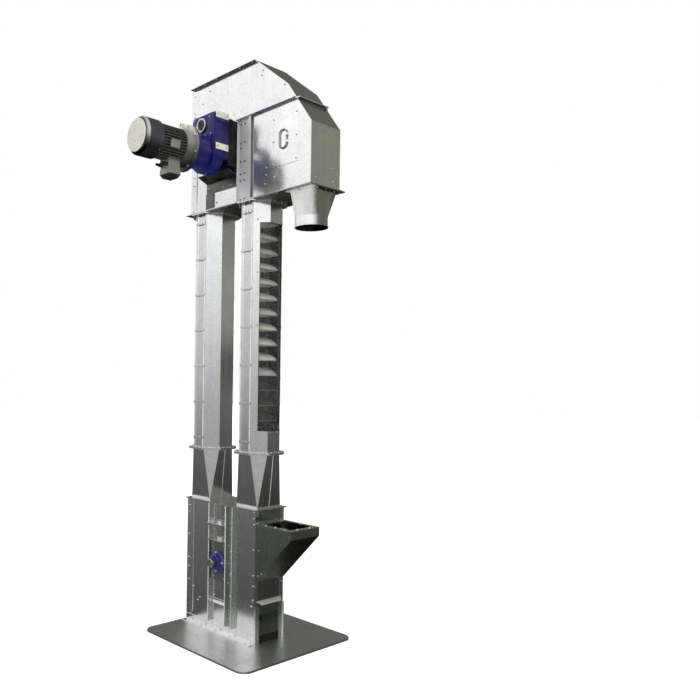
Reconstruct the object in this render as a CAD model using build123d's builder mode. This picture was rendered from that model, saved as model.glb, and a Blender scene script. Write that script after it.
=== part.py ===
from build123d import *
from math import cos, pi, sin, tan
import os

os.makedirs("parts", exist_ok=True)

# Driving dimensions in millimetres. X runs along the machine, from the rising leg on the minus
# side to the discharge on the plus side. Y runs across it, with the drive on the minus side.
# Z is height above the underside of the base plate, and X = 0 is the pulleys' centre line.
sheet = 3.0
plate = 6.0
seat_gap = 0.3
slide_gap = 0.5
running_gap = 0.05
edge_break = 2.0

# Base plate
base_length = 930.0
base_width = 930.0
base_thickness = 12.0
base_corner = 62.0
base_centre_x = 132.0

# Boot, the lower box that the belt turns in
boot_length = 640.0
boot_width = 244.0
boot_wall_height = 802.0
boot_plate_overhang = 14.0
boot_lap = 60.0
boot_lap_rise = 45.0
boot_end_flange = 28.0
foot_leg = 40.0
foot_thickness = 4.0

# Posts and take-up on the boot's sides
post_clear_half = 78.0
post_narrow = 30.0
post_wide = 66.0
post_depth = 25.0
post_rise = 10.0
boot_shaft_height = 453.0
takeup_travel = 60.0
carriage_half_width = 70.0
carriage_below = 120.0
carriage_above = 137.0
rod_radius = 8.0
rod_stand_off = 31.0
rod_end_gap = 2.0
takeup_bar_height = 690.0
takeup_bar_rise = 22.0
takeup_bar_depth = 44.0
lower_bar_height = 190.0
nut_across = 24.0
nut_height = 13.0

# Inlet hopper and clean-out gate on the discharge end of the boot
hopper_reach = 289.0
hopper_top = 738.0
hopper_lip = 52.0
hopper_foot = 384.0
rim_thickness = 4.0
rim_width = 30.0
rim_hole_radius = 5.5
inlet_opening_margin = 22.0
gate_bottom = 60.0
gate_height = 125.0
gate_travel = 50.0
gate_grip = 12.0
gate_thickness = 2.0
guide_overlap = 10.0
hood_reach = 50.0
hood_drop = 14.0
hood_leg = 46.0
knob_radius = 13.0
knob_length = 26.0
knob_round = 4.0

# Legs
leg_inset = 100.0
leg_across = 250.0
leg_length = 1531.0
leg_flange = 28.0
seam_groove = 62.0
seam_depth = 6.0
transition_height = 333.0
transition_foot_x = 184.0
transition_foot_y = 198.0
clip_height = 16.0
clip_thickness = 4.0
clip_length = 96.0
clip_pitch = 233.0
clip_first = 70.0
window_sill = 137.0
window_head = 134.0
window_return = 29.3
window_overlap = 14.0
window_thickness = 3.0

# Head
head_overhang = 105.0
head_length = 1050.0
head_width = 248.0
head_wall_height = 512.0
hood_wall_height = 320.0
apex_inset = 446.0
knee_inset = 179.0
knee_height = 96.0
brow_depth = 160.0
head_flange = 25.0
head_lap = 55.0
seam_break = 122.0
strap_left = 128.0
strap_width = 108.0
strap_depth = 12.0
strap_edge = 16.0
shaft_below_seam = 45.0
hatch_inset = 89.0
hatch_width = 216.0
hatch_height = 300.0
hatch_rise = 150.0
hatch_margin = 26.0
handle_wire = 4.0
handle_height = 105.0
handle_bow = 56.0
handle_lug = 14.0
handle_lug_inset = 32.0
handle_bend = 24.0
round_cover_radius = 66.0

# Discharge spout
spout_inset = 86.0
spout_lean = 14.0
spout_height = 150.0
spout_top_length = 164.0
spout_top_width = 212.0
spout_flange = 20.0
collar_radius = 94.0
collar_height = 56.0
collar_lip = 4.0

# Belt, buckets and pulleys
belt_width = 190.0
belt_thickness = 6.0
bucket_width = 180.0
bucket_projection = 110.0
bucket_depth = 55.0
bucket_wall = 4.0
bucket_pitch = 94.0
pulley_face = 206.0
lagging = 8.0
pulley_wall = 8.0
hub_radius = 48.0
wing_count = 10
wing_thickness = 6.0
wing_bar_width = 34.0

# Shafts and bearings
head_shaft_radius = 30.0
boot_shaft_radius = 25.0
boot_shaft_overhang = 30.0
bearing_square = 143.0
bearing_corner = 22.0
bearing_base = 16.0
bearing_depth = 46.0
bearing_boss = 52.0
head_bearing_square = 150.0
bearing_plate_height = 210.0
bearing_plate_width = 170.0

# Gear unit and motor
stool_depth = 75.0
stool_wall = 8.0
gear_left = 95.0
gear_right = 118.0
gear_top = 66.0
gear_depth = 113.0
gear_offset = 168.0
gear_foot_radius = 122.0
gear_corner = 18.0
gear_cover = 10.0
bowl_setback = 29.0
bowl_drop = 45.0
pad_rise = 9.0
pad_height = 42.0
boss_radius = 44.0
boss_rise = 6.0
adapter_length = 133.0
adapter_radius = 104.0
motor_flange_radius = 139.0
motor_flange_thickness = 12.0
shield_length = 43.0
shield_radius = 116.0
lug_width = 26.0
lug_rise = 30.0
lug_eye = 7.0
motor_length = 174.0
motor_core = 86.0
fin_radius = 101.0
fin_count = 36
fin_thickness = 3.0
cowl_length = 123.0
cowl_radius = 111.0
cowl_wall = 2.5
cowl_dome = 24.0
cowl_face_radius = 94.0
cowl_slot_rings = 3
cowl_slot_pitch = 21.0
cowl_slot_width = 6.0
cowl_spokes = 6
cowl_spoke_width = 14.0
motor_shaft_radius = 14.0
fan_radius = 88.0
fan_blades = 8
fan_depth = 60.0
fan_clearance = 24.0
box_length = 89.0
box_setback = 78.0
box_width = 98.0
box_height = 46.0
box_lid = 30.0
lid_taper = 20.0
lid_slope = 35.0
lid_lip = 3.0
box_corner = 8.0
gland_radius = 12.0
gland_length = 44.0
bracket_left = 166.0
bracket_drop = 16.0
bracket_slope = 33.0
bracket_height = 66.0
far_shelf_reach = 126.0
bracket_post = 66.0
bracket_post_depth = 10.0

# Levels and places that follow from the sizes above
boot_top = base_thickness + boot_wall_height
transition_base = boot_top + plate
leg_base = transition_base + transition_height
head_plate_base = leg_base + leg_length
head_base = head_plate_base + plate
seam = head_base + head_wall_height
hood_top = seam + hood_wall_height
leg_spacing = boot_length - 2 * leg_inset
head_left = -leg_spacing / 2 - head_overhang
head_right = head_left + head_length
knee_x = head_right - knee_inset
apex_x = head_right - apex_inset
hatch_left = head_right - hatch_inset - hatch_width
spout_top_x = head_right - spout_inset
spout_centre_x = spout_top_x - spout_lean
knee = seam + knee_height
brow = seam - brow_depth
seam_x = knee_x + (head_right - knee_x) * knee_height / (knee_height + brow_depth)
boot_half = boot_length / 2
boot_side = boot_width / 2
head_side = head_width / 2
leg_half = leg_across / 2
window_height = leg_length - window_sill - window_head
facet_half = leg_half * tan(pi / 8)
head_shaft = seam - shaft_below_seam
motor_axis = head_shaft - gear_offset
pulley_radius = (leg_spacing - bucket_projection) / 2 - belt_thickness - seat_gap
belt_radius = pulley_radius + seat_gap
shaft_distance = head_shaft - boot_shaft_height
gear_back = head_side + stool_depth
gear_front = gear_back + gear_depth
flange_back = gear_front + adapter_length
flange_front = flange_back + motor_flange_thickness
shield_front = flange_front + shield_length
motor_front = shield_front + motor_length
cowl_front = motor_front + cowl_length
gate_face = boot_half + sheet


def save(piece, name):
    piece.part.label = name
    export_step(piece.part, f"parts/{name}.step")


def across(height):
    # Upright working plane across a shaft: its x runs along +Y and its y runs up.
    return Plane(origin=(0, 0, height), x_dir=(0, 1, 0), z_dir=(1, 0, 0))


def shaft_line(height):
    return Axis((0, 0, height), (0, 1, 0))


def near_side(distance):
    # Upright plane facing the drive side, at this distance from the middle of the machine.
    return Plane.XZ.offset(distance)


# Base plate: a loose steel sheet with rounded corners that the boot is bolted to
with BuildPart() as base_plate:
    with BuildSketch():
        with Locations((base_centre_x, 0)):
            RectangleRounded(base_length, base_width, base_corner)
    extrude(amount=base_thickness)
save(base_plate, "base_plate")

# Boot sides: each is folded round onto the discharge end and slotted for the boot shaft
slot_radius = boot_shaft_radius + plate
side_window_height = boot_shaft_height + takeup_travel / 2
with BuildPart() as boot_sides:
    with BuildSketch(Plane.XY.offset(base_thickness)):
        with BuildLine():
            Polyline(
                (-boot_half, -boot_side),
                (boot_half + sheet, -boot_side),
                (boot_half + sheet, boot_end_flange - boot_side),
            )
            offset(amount=sheet, side=Side.LEFT, kind=Kind.INTERSECTION)
        make_face()
    extrude(amount=boot_wall_height)
    with BuildSketch(near_side(boot_side - sheet)):
        with Locations((0, side_window_height)):
            SlotCenterToCenter(takeup_travel, 2 * slot_radius, rotation=90)
    extrude(amount=sheet, mode=Mode.SUBTRACT)
    mirror(about=Plane.XZ)
save(boot_sides, "boot_sides")

# Boot end on the rising side: a channel whose flanges lap over the two sides
with BuildPart() as boot_tail_end:
    with BuildSketch(Plane.XY.offset(base_thickness)):
        with BuildLine():
            Polyline(
                (boot_lap - boot_half, boot_side + sheet),
                (-boot_half - sheet, boot_side + sheet),
                (-boot_half - sheet, -boot_side - sheet),
                (boot_lap - boot_half, -boot_side - sheet),
            )
            offset(amount=sheet, side=Side.LEFT, kind=Kind.INTERSECTION)
        make_face()
    extrude(amount=boot_wall_height)
    with BuildSketch(Plane.XY.offset(base_thickness)):
        for way in (-1, 1):
            with Locations((boot_lap / 2 - boot_half, way * (boot_side + sheet / 2))):
                Rectangle(boot_lap, sheet)
    extrude(amount=boot_lap_rise, mode=Mode.SUBTRACT)
    lap_corners = boot_tail_end.edges().filter_by(Axis.Y).filter_by(
        lambda edge: abs(edge.center().Z - base_thickness - boot_lap_rise) < 1
        and abs(edge.center().X - boot_lap + boot_half) < 1
    )
    chamfer(lap_corners, length=boot_lap / 3)
save(boot_tail_end, "boot_tail_end")

# Boot end on the discharge side, with the inlet opening above the clean-out opening
inner_half = boot_side - sheet
with BuildPart() as boot_inlet_end:
    with BuildSketch(Plane.YZ.offset(boot_half - sheet)):
        with Locations((0, base_thickness)):
            Rectangle(2 * inner_half, boot_wall_height, align=(Align.CENTER, Align.MIN))
        with Locations((0, hopper_foot + inlet_opening_margin)):
            Rectangle(
                2 * (inner_half - inlet_opening_margin),
                hopper_top - hopper_foot - 2 * inlet_opening_margin,
                align=(Align.CENTER, Align.MIN),
                mode=Mode.SUBTRACT,
            )
        with Locations((0, gate_bottom + sheet)):
            Rectangle(
                2 * (inner_half - boot_end_flange - sheet),
                gate_height - 4 * sheet,
                align=(Align.CENTER, Align.MIN),
                mode=Mode.SUBTRACT,
            )
    extrude(amount=sheet)
save(boot_inlet_end, "boot_inlet_end")

with BuildPart() as boot_floor:
    with BuildSketch(Plane.XY.offset(base_thickness)):
        with Locations((-sheet / 2, 0)):
            Rectangle(boot_length - sheet, 2 * inner_half)
    extrude(amount=sheet)
save(boot_floor, "boot_floor")

# Top plate of the boot, with one opening under each leg
with BuildPart() as boot_top_plate:
    with BuildSketch(Plane.XY.offset(boot_top)):
        Rectangle(boot_length + 2 * boot_plate_overhang, boot_width + 2 * boot_plate_overhang)
        with Locations((-leg_spacing / 2, 0), (leg_spacing / 2, 0)):
            Rectangle(
                transition_foot_x - 2 * sheet,
                transition_foot_y - 2 * sheet,
                mode=Mode.SUBTRACT,
            )
    extrude(amount=plate)
save(boot_top_plate, "boot_top_plate")

# Angles that bolt the boot's sides down to the base plate
with BuildPart() as foot_angles:
    with BuildSketch(Plane.YZ.offset(-boot_half)):
        for way in (-1, 1):
            with BuildLine():
                Polyline(
                    (way * boot_side, base_thickness),
                    (way * (boot_side + foot_leg), base_thickness),
                    (way * (boot_side + foot_leg), base_thickness + foot_thickness),
                    (way * (boot_side + foot_thickness), base_thickness + foot_thickness),
                    (way * (boot_side + foot_thickness), base_thickness + foot_leg),
                    (way * boot_side, base_thickness + foot_leg),
                    close=True,
                )
            make_face()
    extrude(amount=boot_length)
save(foot_angles, "foot_angles")

# Upright posts on each side: a narrow angle and a wide open channel beside the take-up
post_base = base_thickness + foot_leg + post_rise
with BuildPart() as boot_posts:
    with BuildSketch(Plane.XY.offset(post_base)):
        with BuildLine():
            Polyline(
                (-post_clear_half - post_narrow, -boot_side),
                (-post_clear_half, -boot_side),
                (-post_clear_half, -boot_side - post_depth),
            )
            offset(amount=sheet, side=Side.RIGHT, kind=Kind.INTERSECTION)
        make_face()
        with BuildLine():
            Polyline(
                (post_clear_half, -boot_side - post_depth),
                (post_clear_half, -boot_side),
                (post_clear_half + post_wide, -boot_side),
                (post_clear_half + post_wide, -boot_side - post_depth),
            )
            offset(amount=sheet, side=Side.RIGHT, kind=Kind.INTERSECTION)
        make_face()
    extrude(amount=boot_top - post_base)
    mirror(about=Plane.XZ)
save(boot_posts, "boot_posts")

# Cross bars between the posts: the upper ones hold the take-up rods, the lower ones stiffen
rod_y = boot_side + rod_stand_off
with BuildPart() as cross_bars:
    with BuildSketch(Plane.YZ.offset(-post_clear_half)):
        with BuildLine():
            Polyline(
                (-boot_side, takeup_bar_height + takeup_bar_rise),
                (-boot_side, takeup_bar_height),
                (-boot_side - takeup_bar_depth, takeup_bar_height),
                (-boot_side - takeup_bar_depth, takeup_bar_height - takeup_bar_rise / 2),
            )
            offset(amount=sheet, side=Side.RIGHT, kind=Kind.INTERSECTION)
        make_face()
    extrude(amount=2 * post_clear_half)
    with BuildSketch(Plane.XY.offset(takeup_bar_height - sheet)):
        with Locations((0, -rod_y)):
            Circle(rod_radius + slide_gap)
    extrude(amount=2 * sheet, mode=Mode.SUBTRACT)
    with BuildSketch(Plane.YZ.offset(-post_clear_half)):
        with BuildLine():
            Polyline(
                (-boot_side, lower_bar_height + takeup_bar_rise),
                (-boot_side, lower_bar_height),
                (-boot_side - post_depth, lower_bar_height),
            )
            offset(amount=sheet, side=Side.RIGHT, kind=Kind.INTERSECTION)
        make_face()
    extrude(amount=2 * post_clear_half)
    mirror(about=Plane.XZ)
save(cross_bars, "cross_bars")

# Nuts that clamp the take-up rods above and below the upper bars
with BuildPart() as takeup_nuts:
    for nut_base in (takeup_bar_height + sheet, takeup_bar_height - nut_height):
        with BuildSketch(Plane.XY.offset(nut_base)):
            with Locations((0, -rod_y), (0, rod_y)):
                RegularPolygon(nut_across / 2, 6, major_radius=False)
                Circle(rod_radius + running_gap, mode=Mode.SUBTRACT)
        extrude(amount=nut_height)
save(takeup_nuts, "takeup_nuts")

# Sliding carriage plates: they cover the slots, carry the boot bearings and hang on the rods
carriage_face = boot_side + slide_gap
carriage_back = carriage_face + plate
carriage_bottom = boot_shaft_height - carriage_below
carriage_top = boot_shaft_height + carriage_above
with BuildPart() as carriage_plates:
    with BuildSketch(Plane.YZ.offset(-carriage_half_width)):
        with BuildLine():
            Polyline(
                (-carriage_face, carriage_bottom),
                (-carriage_face, carriage_top),
                (-rod_y - 2 * rod_radius, carriage_top),
            )
            offset(amount=plate, side=Side.LEFT, kind=Kind.INTERSECTION)
        make_face()
    extrude(amount=2 * carriage_half_width)
    with BuildSketch(near_side(carriage_face)):
        with Locations((0, boot_shaft_height)):
            Circle(boot_shaft_radius + sheet)
    extrude(amount=plate, mode=Mode.SUBTRACT)
    mirror(about=Plane.XZ)
save(carriage_plates, "carriage_plates")

with BuildPart() as takeup_rods:
    with BuildSketch(Plane.XY.offset(carriage_top)):
        with Locations((0, -rod_y), (0, rod_y)):
            Circle(rod_radius)
    extrude(amount=boot_top - rod_end_gap - carriage_top)
save(takeup_rods, "takeup_rods")


def flange_bearing(face, height, square, bore):
    # Four-bolt cast bearing housing on the far side, with a raised round boss for the insert
    with BuildPart() as housing:
        with BuildSketch(Plane.XZ.offset(-face)):
            with Locations((0, height)):
                RectangleRounded(square, square, bearing_corner)
        extrude(amount=-bearing_base)
        with BuildSketch(Plane.XZ.offset(-face - bearing_base)):
            with Locations((0, height)):
                Circle(bearing_boss)
        extrude(amount=-(bearing_depth - bearing_base), taper=12)
        with BuildSketch(Plane.XZ.offset(-face)):
            with Locations((0, height)):
                Circle(bore + running_gap)
        extrude(amount=-bearing_depth, mode=Mode.SUBTRACT)
    return housing.part


with BuildPart() as boot_bearings:
    add(flange_bearing(carriage_back, boot_shaft_height, bearing_square, boot_shaft_radius))
    mirror(about=Plane.XZ)
save(boot_bearings, "boot_bearings")

with BuildPart() as boot_shaft:
    with BuildSketch(Plane.XZ):
        with Locations((0, boot_shaft_height)):
            Circle(boot_shaft_radius)
    extrude(amount=carriage_back + bearing_depth + boot_shaft_overhang, both=True)
    chamfer(boot_shaft.edges().filter_by(GeomType.CIRCLE), length=edge_break)
save(boot_shaft, "boot_shaft")

# Wing pulley in the boot: radial plates with rim bars, so that spilled grain falls through
bar_face = (pulley_radius**2 - (wing_bar_width / 2) ** 2) ** 0.5
with BuildPart() as boot_pulley:
    with BuildSketch(Plane.XZ):
        with Locations((0, boot_shaft_height)):
            Circle(hub_radius)
            with PolarLocations(0, wing_count):
                with Locations((hub_radius - sheet, 0)):
                    Rectangle(
                        bar_face - hub_radius,
                        wing_thickness,
                        align=(Align.MIN, Align.CENTER),
                    )
                with Locations((bar_face - wing_thickness, 0)):
                    Rectangle(wing_thickness, wing_bar_width, align=(Align.MIN, Align.CENTER))
            Circle(boot_shaft_radius + running_gap, mode=Mode.SUBTRACT)
    extrude(amount=pulley_face / 2, both=True)
save(boot_pulley, "boot_pulley")

# Head shaft, from the far bearing through the pulley into the gear unit's hollow shaft
far_bearing_face = head_side + plate
with BuildPart() as head_shaft_bar:
    with BuildSketch(Plane.XZ.offset(-far_bearing_face - bearing_depth - boot_shaft_overhang)):
        with Locations((0, head_shaft)):
            Circle(head_shaft_radius)
    extrude(amount=far_bearing_face + bearing_depth + boot_shaft_overhang + gear_front)
    chamfer(head_shaft_bar.edges().filter_by(GeomType.CIRCLE), length=edge_break)
save(head_shaft_bar, "head_shaft")

# Head drum: rim, two dished end discs and a hub, all turned about the shaft
drum_radius = pulley_radius - lagging
face_half = pulley_face / 2
with BuildPart() as head_drum:
    with BuildSketch(across(head_shaft)):
        with Locations((0, (drum_radius - pulley_wall / 2))):
            Rectangle(pulley_face, pulley_wall)
        with Locations((0, head_shaft_radius + running_gap)):
            Rectangle(
                pulley_face,
                hub_radius - head_shaft_radius - running_gap,
                align=(Align.CENTER, Align.MIN),
            )
        for way in (-1, 1):
            with BuildLine():
                Polyline(
                    (way * (face_half - pulley_wall), hub_radius - sheet),
                    (way * face_half, hub_radius - sheet),
                    (way * (face_half - 2 * pulley_wall), drum_radius - sheet),
                    (way * (face_half - 3 * pulley_wall), drum_radius - sheet),
                    close=True,
                )
            make_face()
    revolve(axis=shaft_line(head_shaft))
save(head_drum, "head_drum")

with BuildPart() as drum_lagging:
    with BuildSketch(across(head_shaft)):
        with Locations((0, drum_radius + running_gap)):
            Rectangle(
                pulley_face,
                lagging - running_gap,
                align=(Align.CENTER, Align.MIN),
            )
    revolve(axis=shaft_line(head_shaft))
save(drum_lagging, "drum_lagging")

# Endless belt round both pulleys
belt_middle = (head_shaft + boot_shaft_height) / 2
with BuildPart() as belt:
    with BuildSketch(Plane.XZ):
        with Locations((0, belt_middle)):
            SlotCenterToCenter(shaft_distance, 2 * (belt_radius + belt_thickness), rotation=90)
            SlotCenterToCenter(shaft_distance, 2 * belt_radius, rotation=90, mode=Mode.SUBTRACT)
    extrude(amount=belt_width / 2, both=True)
save(belt, "belt")

# One bucket, drawn with its back on the belt: x away from the belt, y the way the belt moves.
# Its curved front rises to a lip level with the open mouth
with BuildPart() as bucket:
    with BuildSketch():
        with BuildLine():
            Polyline(
                (0, 0),
                (0.3 * bucket_projection, 0),
                (0.66 * bucket_projection, 0.2 * bucket_depth),
                (0.9 * bucket_projection, 0.6 * bucket_depth),
                (bucket_projection, bucket_depth),
                (0, bucket_depth),
                close=True,
            )
        make_face()
    extrude(amount=bucket_width / 2, both=True)
    with BuildSketch():
        with BuildLine():
            Polyline(
                (bucket_wall, bucket_wall),
                (0.29 * bucket_projection, bucket_wall),
                (0.64 * bucket_projection, 0.2 * bucket_depth + bucket_wall),
                (0.9 * bucket_projection - bucket_wall, 0.6 * bucket_depth + bucket_wall / 2),
                (bucket_projection - bucket_wall, bucket_depth + bucket_wall / 2),
                (bucket_wall, bucket_depth + bucket_wall / 2),
                close=True,
            )
        make_face()
    extrude(amount=bucket_width / 2 - bucket_wall, both=True, mode=Mode.SUBTRACT)


def bucket_place(travel):
    # Plane of the bucket that has gone this far round the loop, from the foot of the rising run
    back = belt_radius + belt_thickness + seat_gap
    bend = pi * (belt_radius + belt_thickness)
    if travel < shaft_distance:
        turn, height = pi, boot_shaft_height + travel
    elif travel < shaft_distance + bend:
        turn, height = pi - (travel - shaft_distance) / bend * pi, head_shaft
    elif travel < 2 * shaft_distance + bend:
        turn, height = 0.0, head_shaft - (travel - shaft_distance - bend)
    else:
        turn, height = -(travel - 2 * shaft_distance - bend) / bend * pi, boot_shaft_height
    outward = (cos(turn), 0, sin(turn))
    origin = (back * outward[0], 0, height + back * outward[2])
    return Plane(origin=origin, x_dir=outward, z_dir=(0, 1, 0))


loop_length = 2 * (shaft_distance + pi * (belt_radius + belt_thickness))
bucket_count = round(loop_length / bucket_pitch)
bucket_step = loop_length / bucket_count
with BuildPart() as buckets:
    with Locations(*(bucket_place((k + 0.3) * bucket_step) for k in range(bucket_count))):
        add(bucket.part)
save(buckets, "buckets")

# Hopper: a folded floor and lip between two side cheeks, open on top and towards the boot
hopper_face = boot_half + sheet
hopper_end = hopper_face + hopper_reach
hopper_body_top = hopper_top - rim_thickness
with BuildPart() as inlet_hopper:
    with BuildSketch(Plane.XZ):
        with BuildLine():
            Polyline(
                (hopper_face, hopper_foot),
                (hopper_end, hopper_top - hopper_lip),
                (hopper_end, hopper_body_top),
            )
            offset(amount=sheet, side=Side.LEFT, kind=Kind.INTERSECTION)
        make_face()
    extrude(amount=boot_side, both=True)
    with BuildSketch(near_side(boot_side - sheet)):
        with BuildLine():
            Polyline(
                (hopper_face, hopper_foot),
                (hopper_end, hopper_top - hopper_lip),
                (hopper_end, hopper_body_top),
                (hopper_face, hopper_body_top),
                close=True,
            )
        make_face()
    cheek = extrude(amount=sheet)
    mirror(cheek, about=Plane.XZ)
    split(bisect_by=Plane.YZ.offset(hopper_face), keep=Keep.TOP)
save(inlet_hopper, "inlet_hopper")

# Rim frame on the hopper, drilled at its corners for whatever feeds it
with BuildPart() as inlet_rim:
    with BuildSketch(Plane.XY.offset(hopper_body_top)):
        with Locations((hopper_face + hopper_reach / 2, 0)):
            Rectangle(hopper_reach, boot_width)
            Rectangle(
                hopper_reach - 2 * rim_width,
                boot_width - 2 * rim_width,
                mode=Mode.SUBTRACT,
            )
            with GridLocations(hopper_reach - rim_width, boot_width - rim_width, 2, 2):
                Circle(rim_hole_radius, mode=Mode.SUBTRACT)
    extrude(amount=rim_thickness)
save(inlet_rim, "inlet_rim")

# Clean-out gate: a sheet that slides up between two guides, with a folded finger grip
gate_half = boot_side - boot_end_flange - 2 * slide_gap
gate_back = boot_half + slide_gap
gate_top = gate_bottom + gate_height
with BuildPart() as cleanout_gate:
    with BuildSketch(Plane.YZ.offset(gate_back)):
        with Locations((0, gate_bottom)):
            Rectangle(2 * gate_half, gate_height, align=(Align.CENTER, Align.MIN))
    extrude(amount=gate_thickness)
    with BuildSketch(Plane.XY.offset(gate_top - gate_thickness)):
        with Locations((gate_back, 0)):
            Rectangle(
                gate_grip,
                2 * (gate_half - 2 * guide_overlap),
                align=(Align.MIN, Align.CENTER),
            )
    extrude(amount=gate_thickness)
save(cleanout_gate, "cleanout_gate")

knob_y = -0.6 * gate_half
knob_z = gate_top - 2 * knob_radius
with BuildPart() as gate_knob:
    with BuildSketch(Plane.YZ.offset(gate_back + gate_thickness)):
        with Locations((knob_y, knob_z)):
            Circle(knob_radius / 2)
    extrude(amount=knob_length / 2)
    with BuildSketch(Plane.YZ.offset(gate_back + gate_thickness + knob_length / 2)):
        with Locations((knob_y, knob_z)):
            Circle(knob_radius)
    extrude(amount=knob_length / 2)
    fillet(gate_knob.edges().filter_by(GeomType.CIRCLE).sort_by(Axis.X)[-1], radius=knob_round)
save(gate_knob, "gate_knob")

guide_top = gate_top + gate_travel
with BuildPart() as gate_guides:
    with BuildSketch(Plane.XY.offset(base_thickness)):
        with BuildLine():
            Polyline(
                (gate_face + post_rise, -boot_side),
                (gate_face, -boot_side),
                (gate_face, boot_end_flange + guide_overlap - boot_side),
            )
            offset(amount=sheet, side=Side.RIGHT, kind=Kind.INTERSECTION)
        make_face()
    extrude(amount=guide_top - base_thickness)
    mirror(about=Plane.XZ)
save(gate_guides, "gate_guides")

# Folded hood that keeps spilled grain off the gate
with BuildPart() as gate_hood:
    with BuildSketch(Plane.XZ):
        with BuildLine():
            Polyline(
                (gate_face, guide_top + hood_drop + hood_leg),
                (gate_face, guide_top + hood_drop),
                (gate_face + hood_reach, guide_top),
            )
            offset(amount=sheet, side=Side.LEFT, kind=Kind.INTERSECTION)
        make_face()
    extrude(amount=boot_side, both=True)
save(gate_hood, "gate_hood")


def leg_octagon(flat, height, depth):
    # Solid eight-sided block of this width over its flats, centred on X = 0
    with BuildPart() as block:
        with BuildSketch(Plane.XY.offset(height)):
            RegularPolygon(flat / 2, 8, major_radius=False, rotation=22.5)
        extrude(amount=depth)
    return block.part


def transition_block(inset):
    # Solid between the boot's rectangle and the leg's octagon, smaller by the inset all round
    corner = sheet / 2
    foot_x = transition_foot_x / 2 - inset
    foot_y = transition_foot_y / 2 - inset
    with BuildPart() as block:
        with BuildSketch(Plane.XY.offset(transition_base)):
            foot = Rectangle(2 * foot_x, 2 * foot_y)
            chamfer(foot.vertices(), length=corner)
        with BuildSketch(Plane.XY.offset(leg_base)):
            RegularPolygon(leg_half - inset, 8, major_radius=False, rotation=22.5)
        loft(ruled=True)
    return block.part


# Transitions: eight flat facets, four of which narrow to the corners of the boot's openings
with BuildPart() as transition:
    add(transition_block(0))
    add(leg_octagon(leg_across + 2 * leg_flange, leg_base - plate, plate))
    add(transition_block(sheet), mode=Mode.SUBTRACT)

with BuildPart() as leg_transitions:
    with Locations((-leg_spacing / 2, 0, 0), (leg_spacing / 2, 0, 0)):
        add(transition.part)
save(leg_transitions, "leg_transitions")

# Half of a leg: four facets folded from one sheet, with a shallow groove along each seam
groove_half = seam_groove / 2
groove_wall = leg_half - seam_depth
half_face = (
    (0, -groove_wall),
    (groove_half, -groove_wall),
    (groove_half + seam_depth, -leg_half),
    (facet_half, -leg_half),
    (leg_half, -facet_half),
    (leg_half, facet_half),
    (facet_half, leg_half),
    (groove_half + seam_depth, leg_half),
    (groove_half, groove_wall),
    (0, groove_wall),
)
with BuildPart() as half_leg:
    with BuildSketch(Plane.XY.offset(leg_base)):
        with BuildLine():
            Polyline(*half_face)
            offset(amount=sheet, side=Side.LEFT, kind=Kind.INTERSECTION)
        make_face()
    extrude(amount=leg_length)
    for flange_base in (leg_base, leg_base + leg_length - plate):
        with BuildSketch(Plane.XY.offset(flange_base)):
            RegularPolygon(leg_half + leg_flange, 8, major_radius=False, rotation=22.5)
            RegularPolygon(
                leg_half, 8, major_radius=False, rotation=22.5, mode=Mode.SUBTRACT
            )
            with Locations((-leg_across, 0)):
                Rectangle(2 * leg_across, 2 * leg_across, mode=Mode.SUBTRACT)
        extrude(amount=plate)

with BuildPart() as rising_leg_inner:
    with Locations((-leg_spacing / 2, 0, 0)):
        add(half_leg.part)
save(rising_leg_inner, "rising_leg_inner")

with BuildPart() as rising_leg_outer:
    with Locations((-leg_spacing / 2, 0, 0)):
        add(mirror(half_leg.part, about=Plane.YZ, mode=Mode.PRIVATE))
save(rising_leg_outer, "rising_leg_outer")

with BuildPart() as falling_leg_inner:
    with Locations((leg_spacing / 2, 0, 0)):
        add(mirror(half_leg.part, about=Plane.YZ, mode=Mode.PRIVATE))
save(falling_leg_inner, "falling_leg_inner")

# Windowed half of the falling leg: the end facet and most of both slanted ones are cut away
window_start = facet_half + window_return
window_side = leg_half - window_return
window_base = leg_base + window_sill
with BuildPart() as falling_leg_outer:
    with Locations((leg_spacing / 2, 0, 0)):
        add(half_leg.part)
    with BuildSketch(Plane.XY.offset(window_base)):
        with Locations((leg_spacing / 2 + window_start, 0)):
            Rectangle(leg_half, 2 * window_side, align=(Align.MIN, Align.CENTER))
    extrude(amount=window_height, mode=Mode.SUBTRACT)
save(falling_leg_outer, "falling_leg_outer")

# Clear panel bent to the same facets and seated inside the opening
panel_half = leg_half - sheet
panel_facet = panel_half * tan(pi / 8)
panel_start = window_start - window_overlap / 2
panel_side = panel_half - (panel_start - panel_facet)
with BuildPart() as leg_window:
    with BuildSketch(Plane.XY.offset(window_base - window_overlap)):
        with BuildLine():
            Polyline(
                (leg_spacing / 2 + panel_start, -panel_side),
                (leg_spacing / 2 + panel_half, -panel_facet),
                (leg_spacing / 2 + panel_half, panel_facet),
                (leg_spacing / 2 + panel_start, panel_side),
            )
            offset(amount=window_thickness, side=Side.LEFT, kind=Kind.INTERSECTION)
        make_face()
    extrude(amount=window_height + 2 * window_overlap)
save(leg_window, "leg_window")

# Clips that bridge the seam grooves at an even pitch
clip_count = int((leg_length - clip_first) / clip_pitch) + 1
with BuildPart() as seam_clips:
    for row in range(clip_count):
        with BuildSketch(near_side(leg_half)):
            with Locations(
                (-leg_spacing / 2, leg_base + clip_first + row * clip_pitch),
                (leg_spacing / 2, leg_base + clip_first + row * clip_pitch),
            ):
                Rectangle(clip_length, clip_height)
        extrude(amount=clip_thickness)
    mirror(about=Plane.XZ)
save(seam_clips, "seam_clips")

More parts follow.
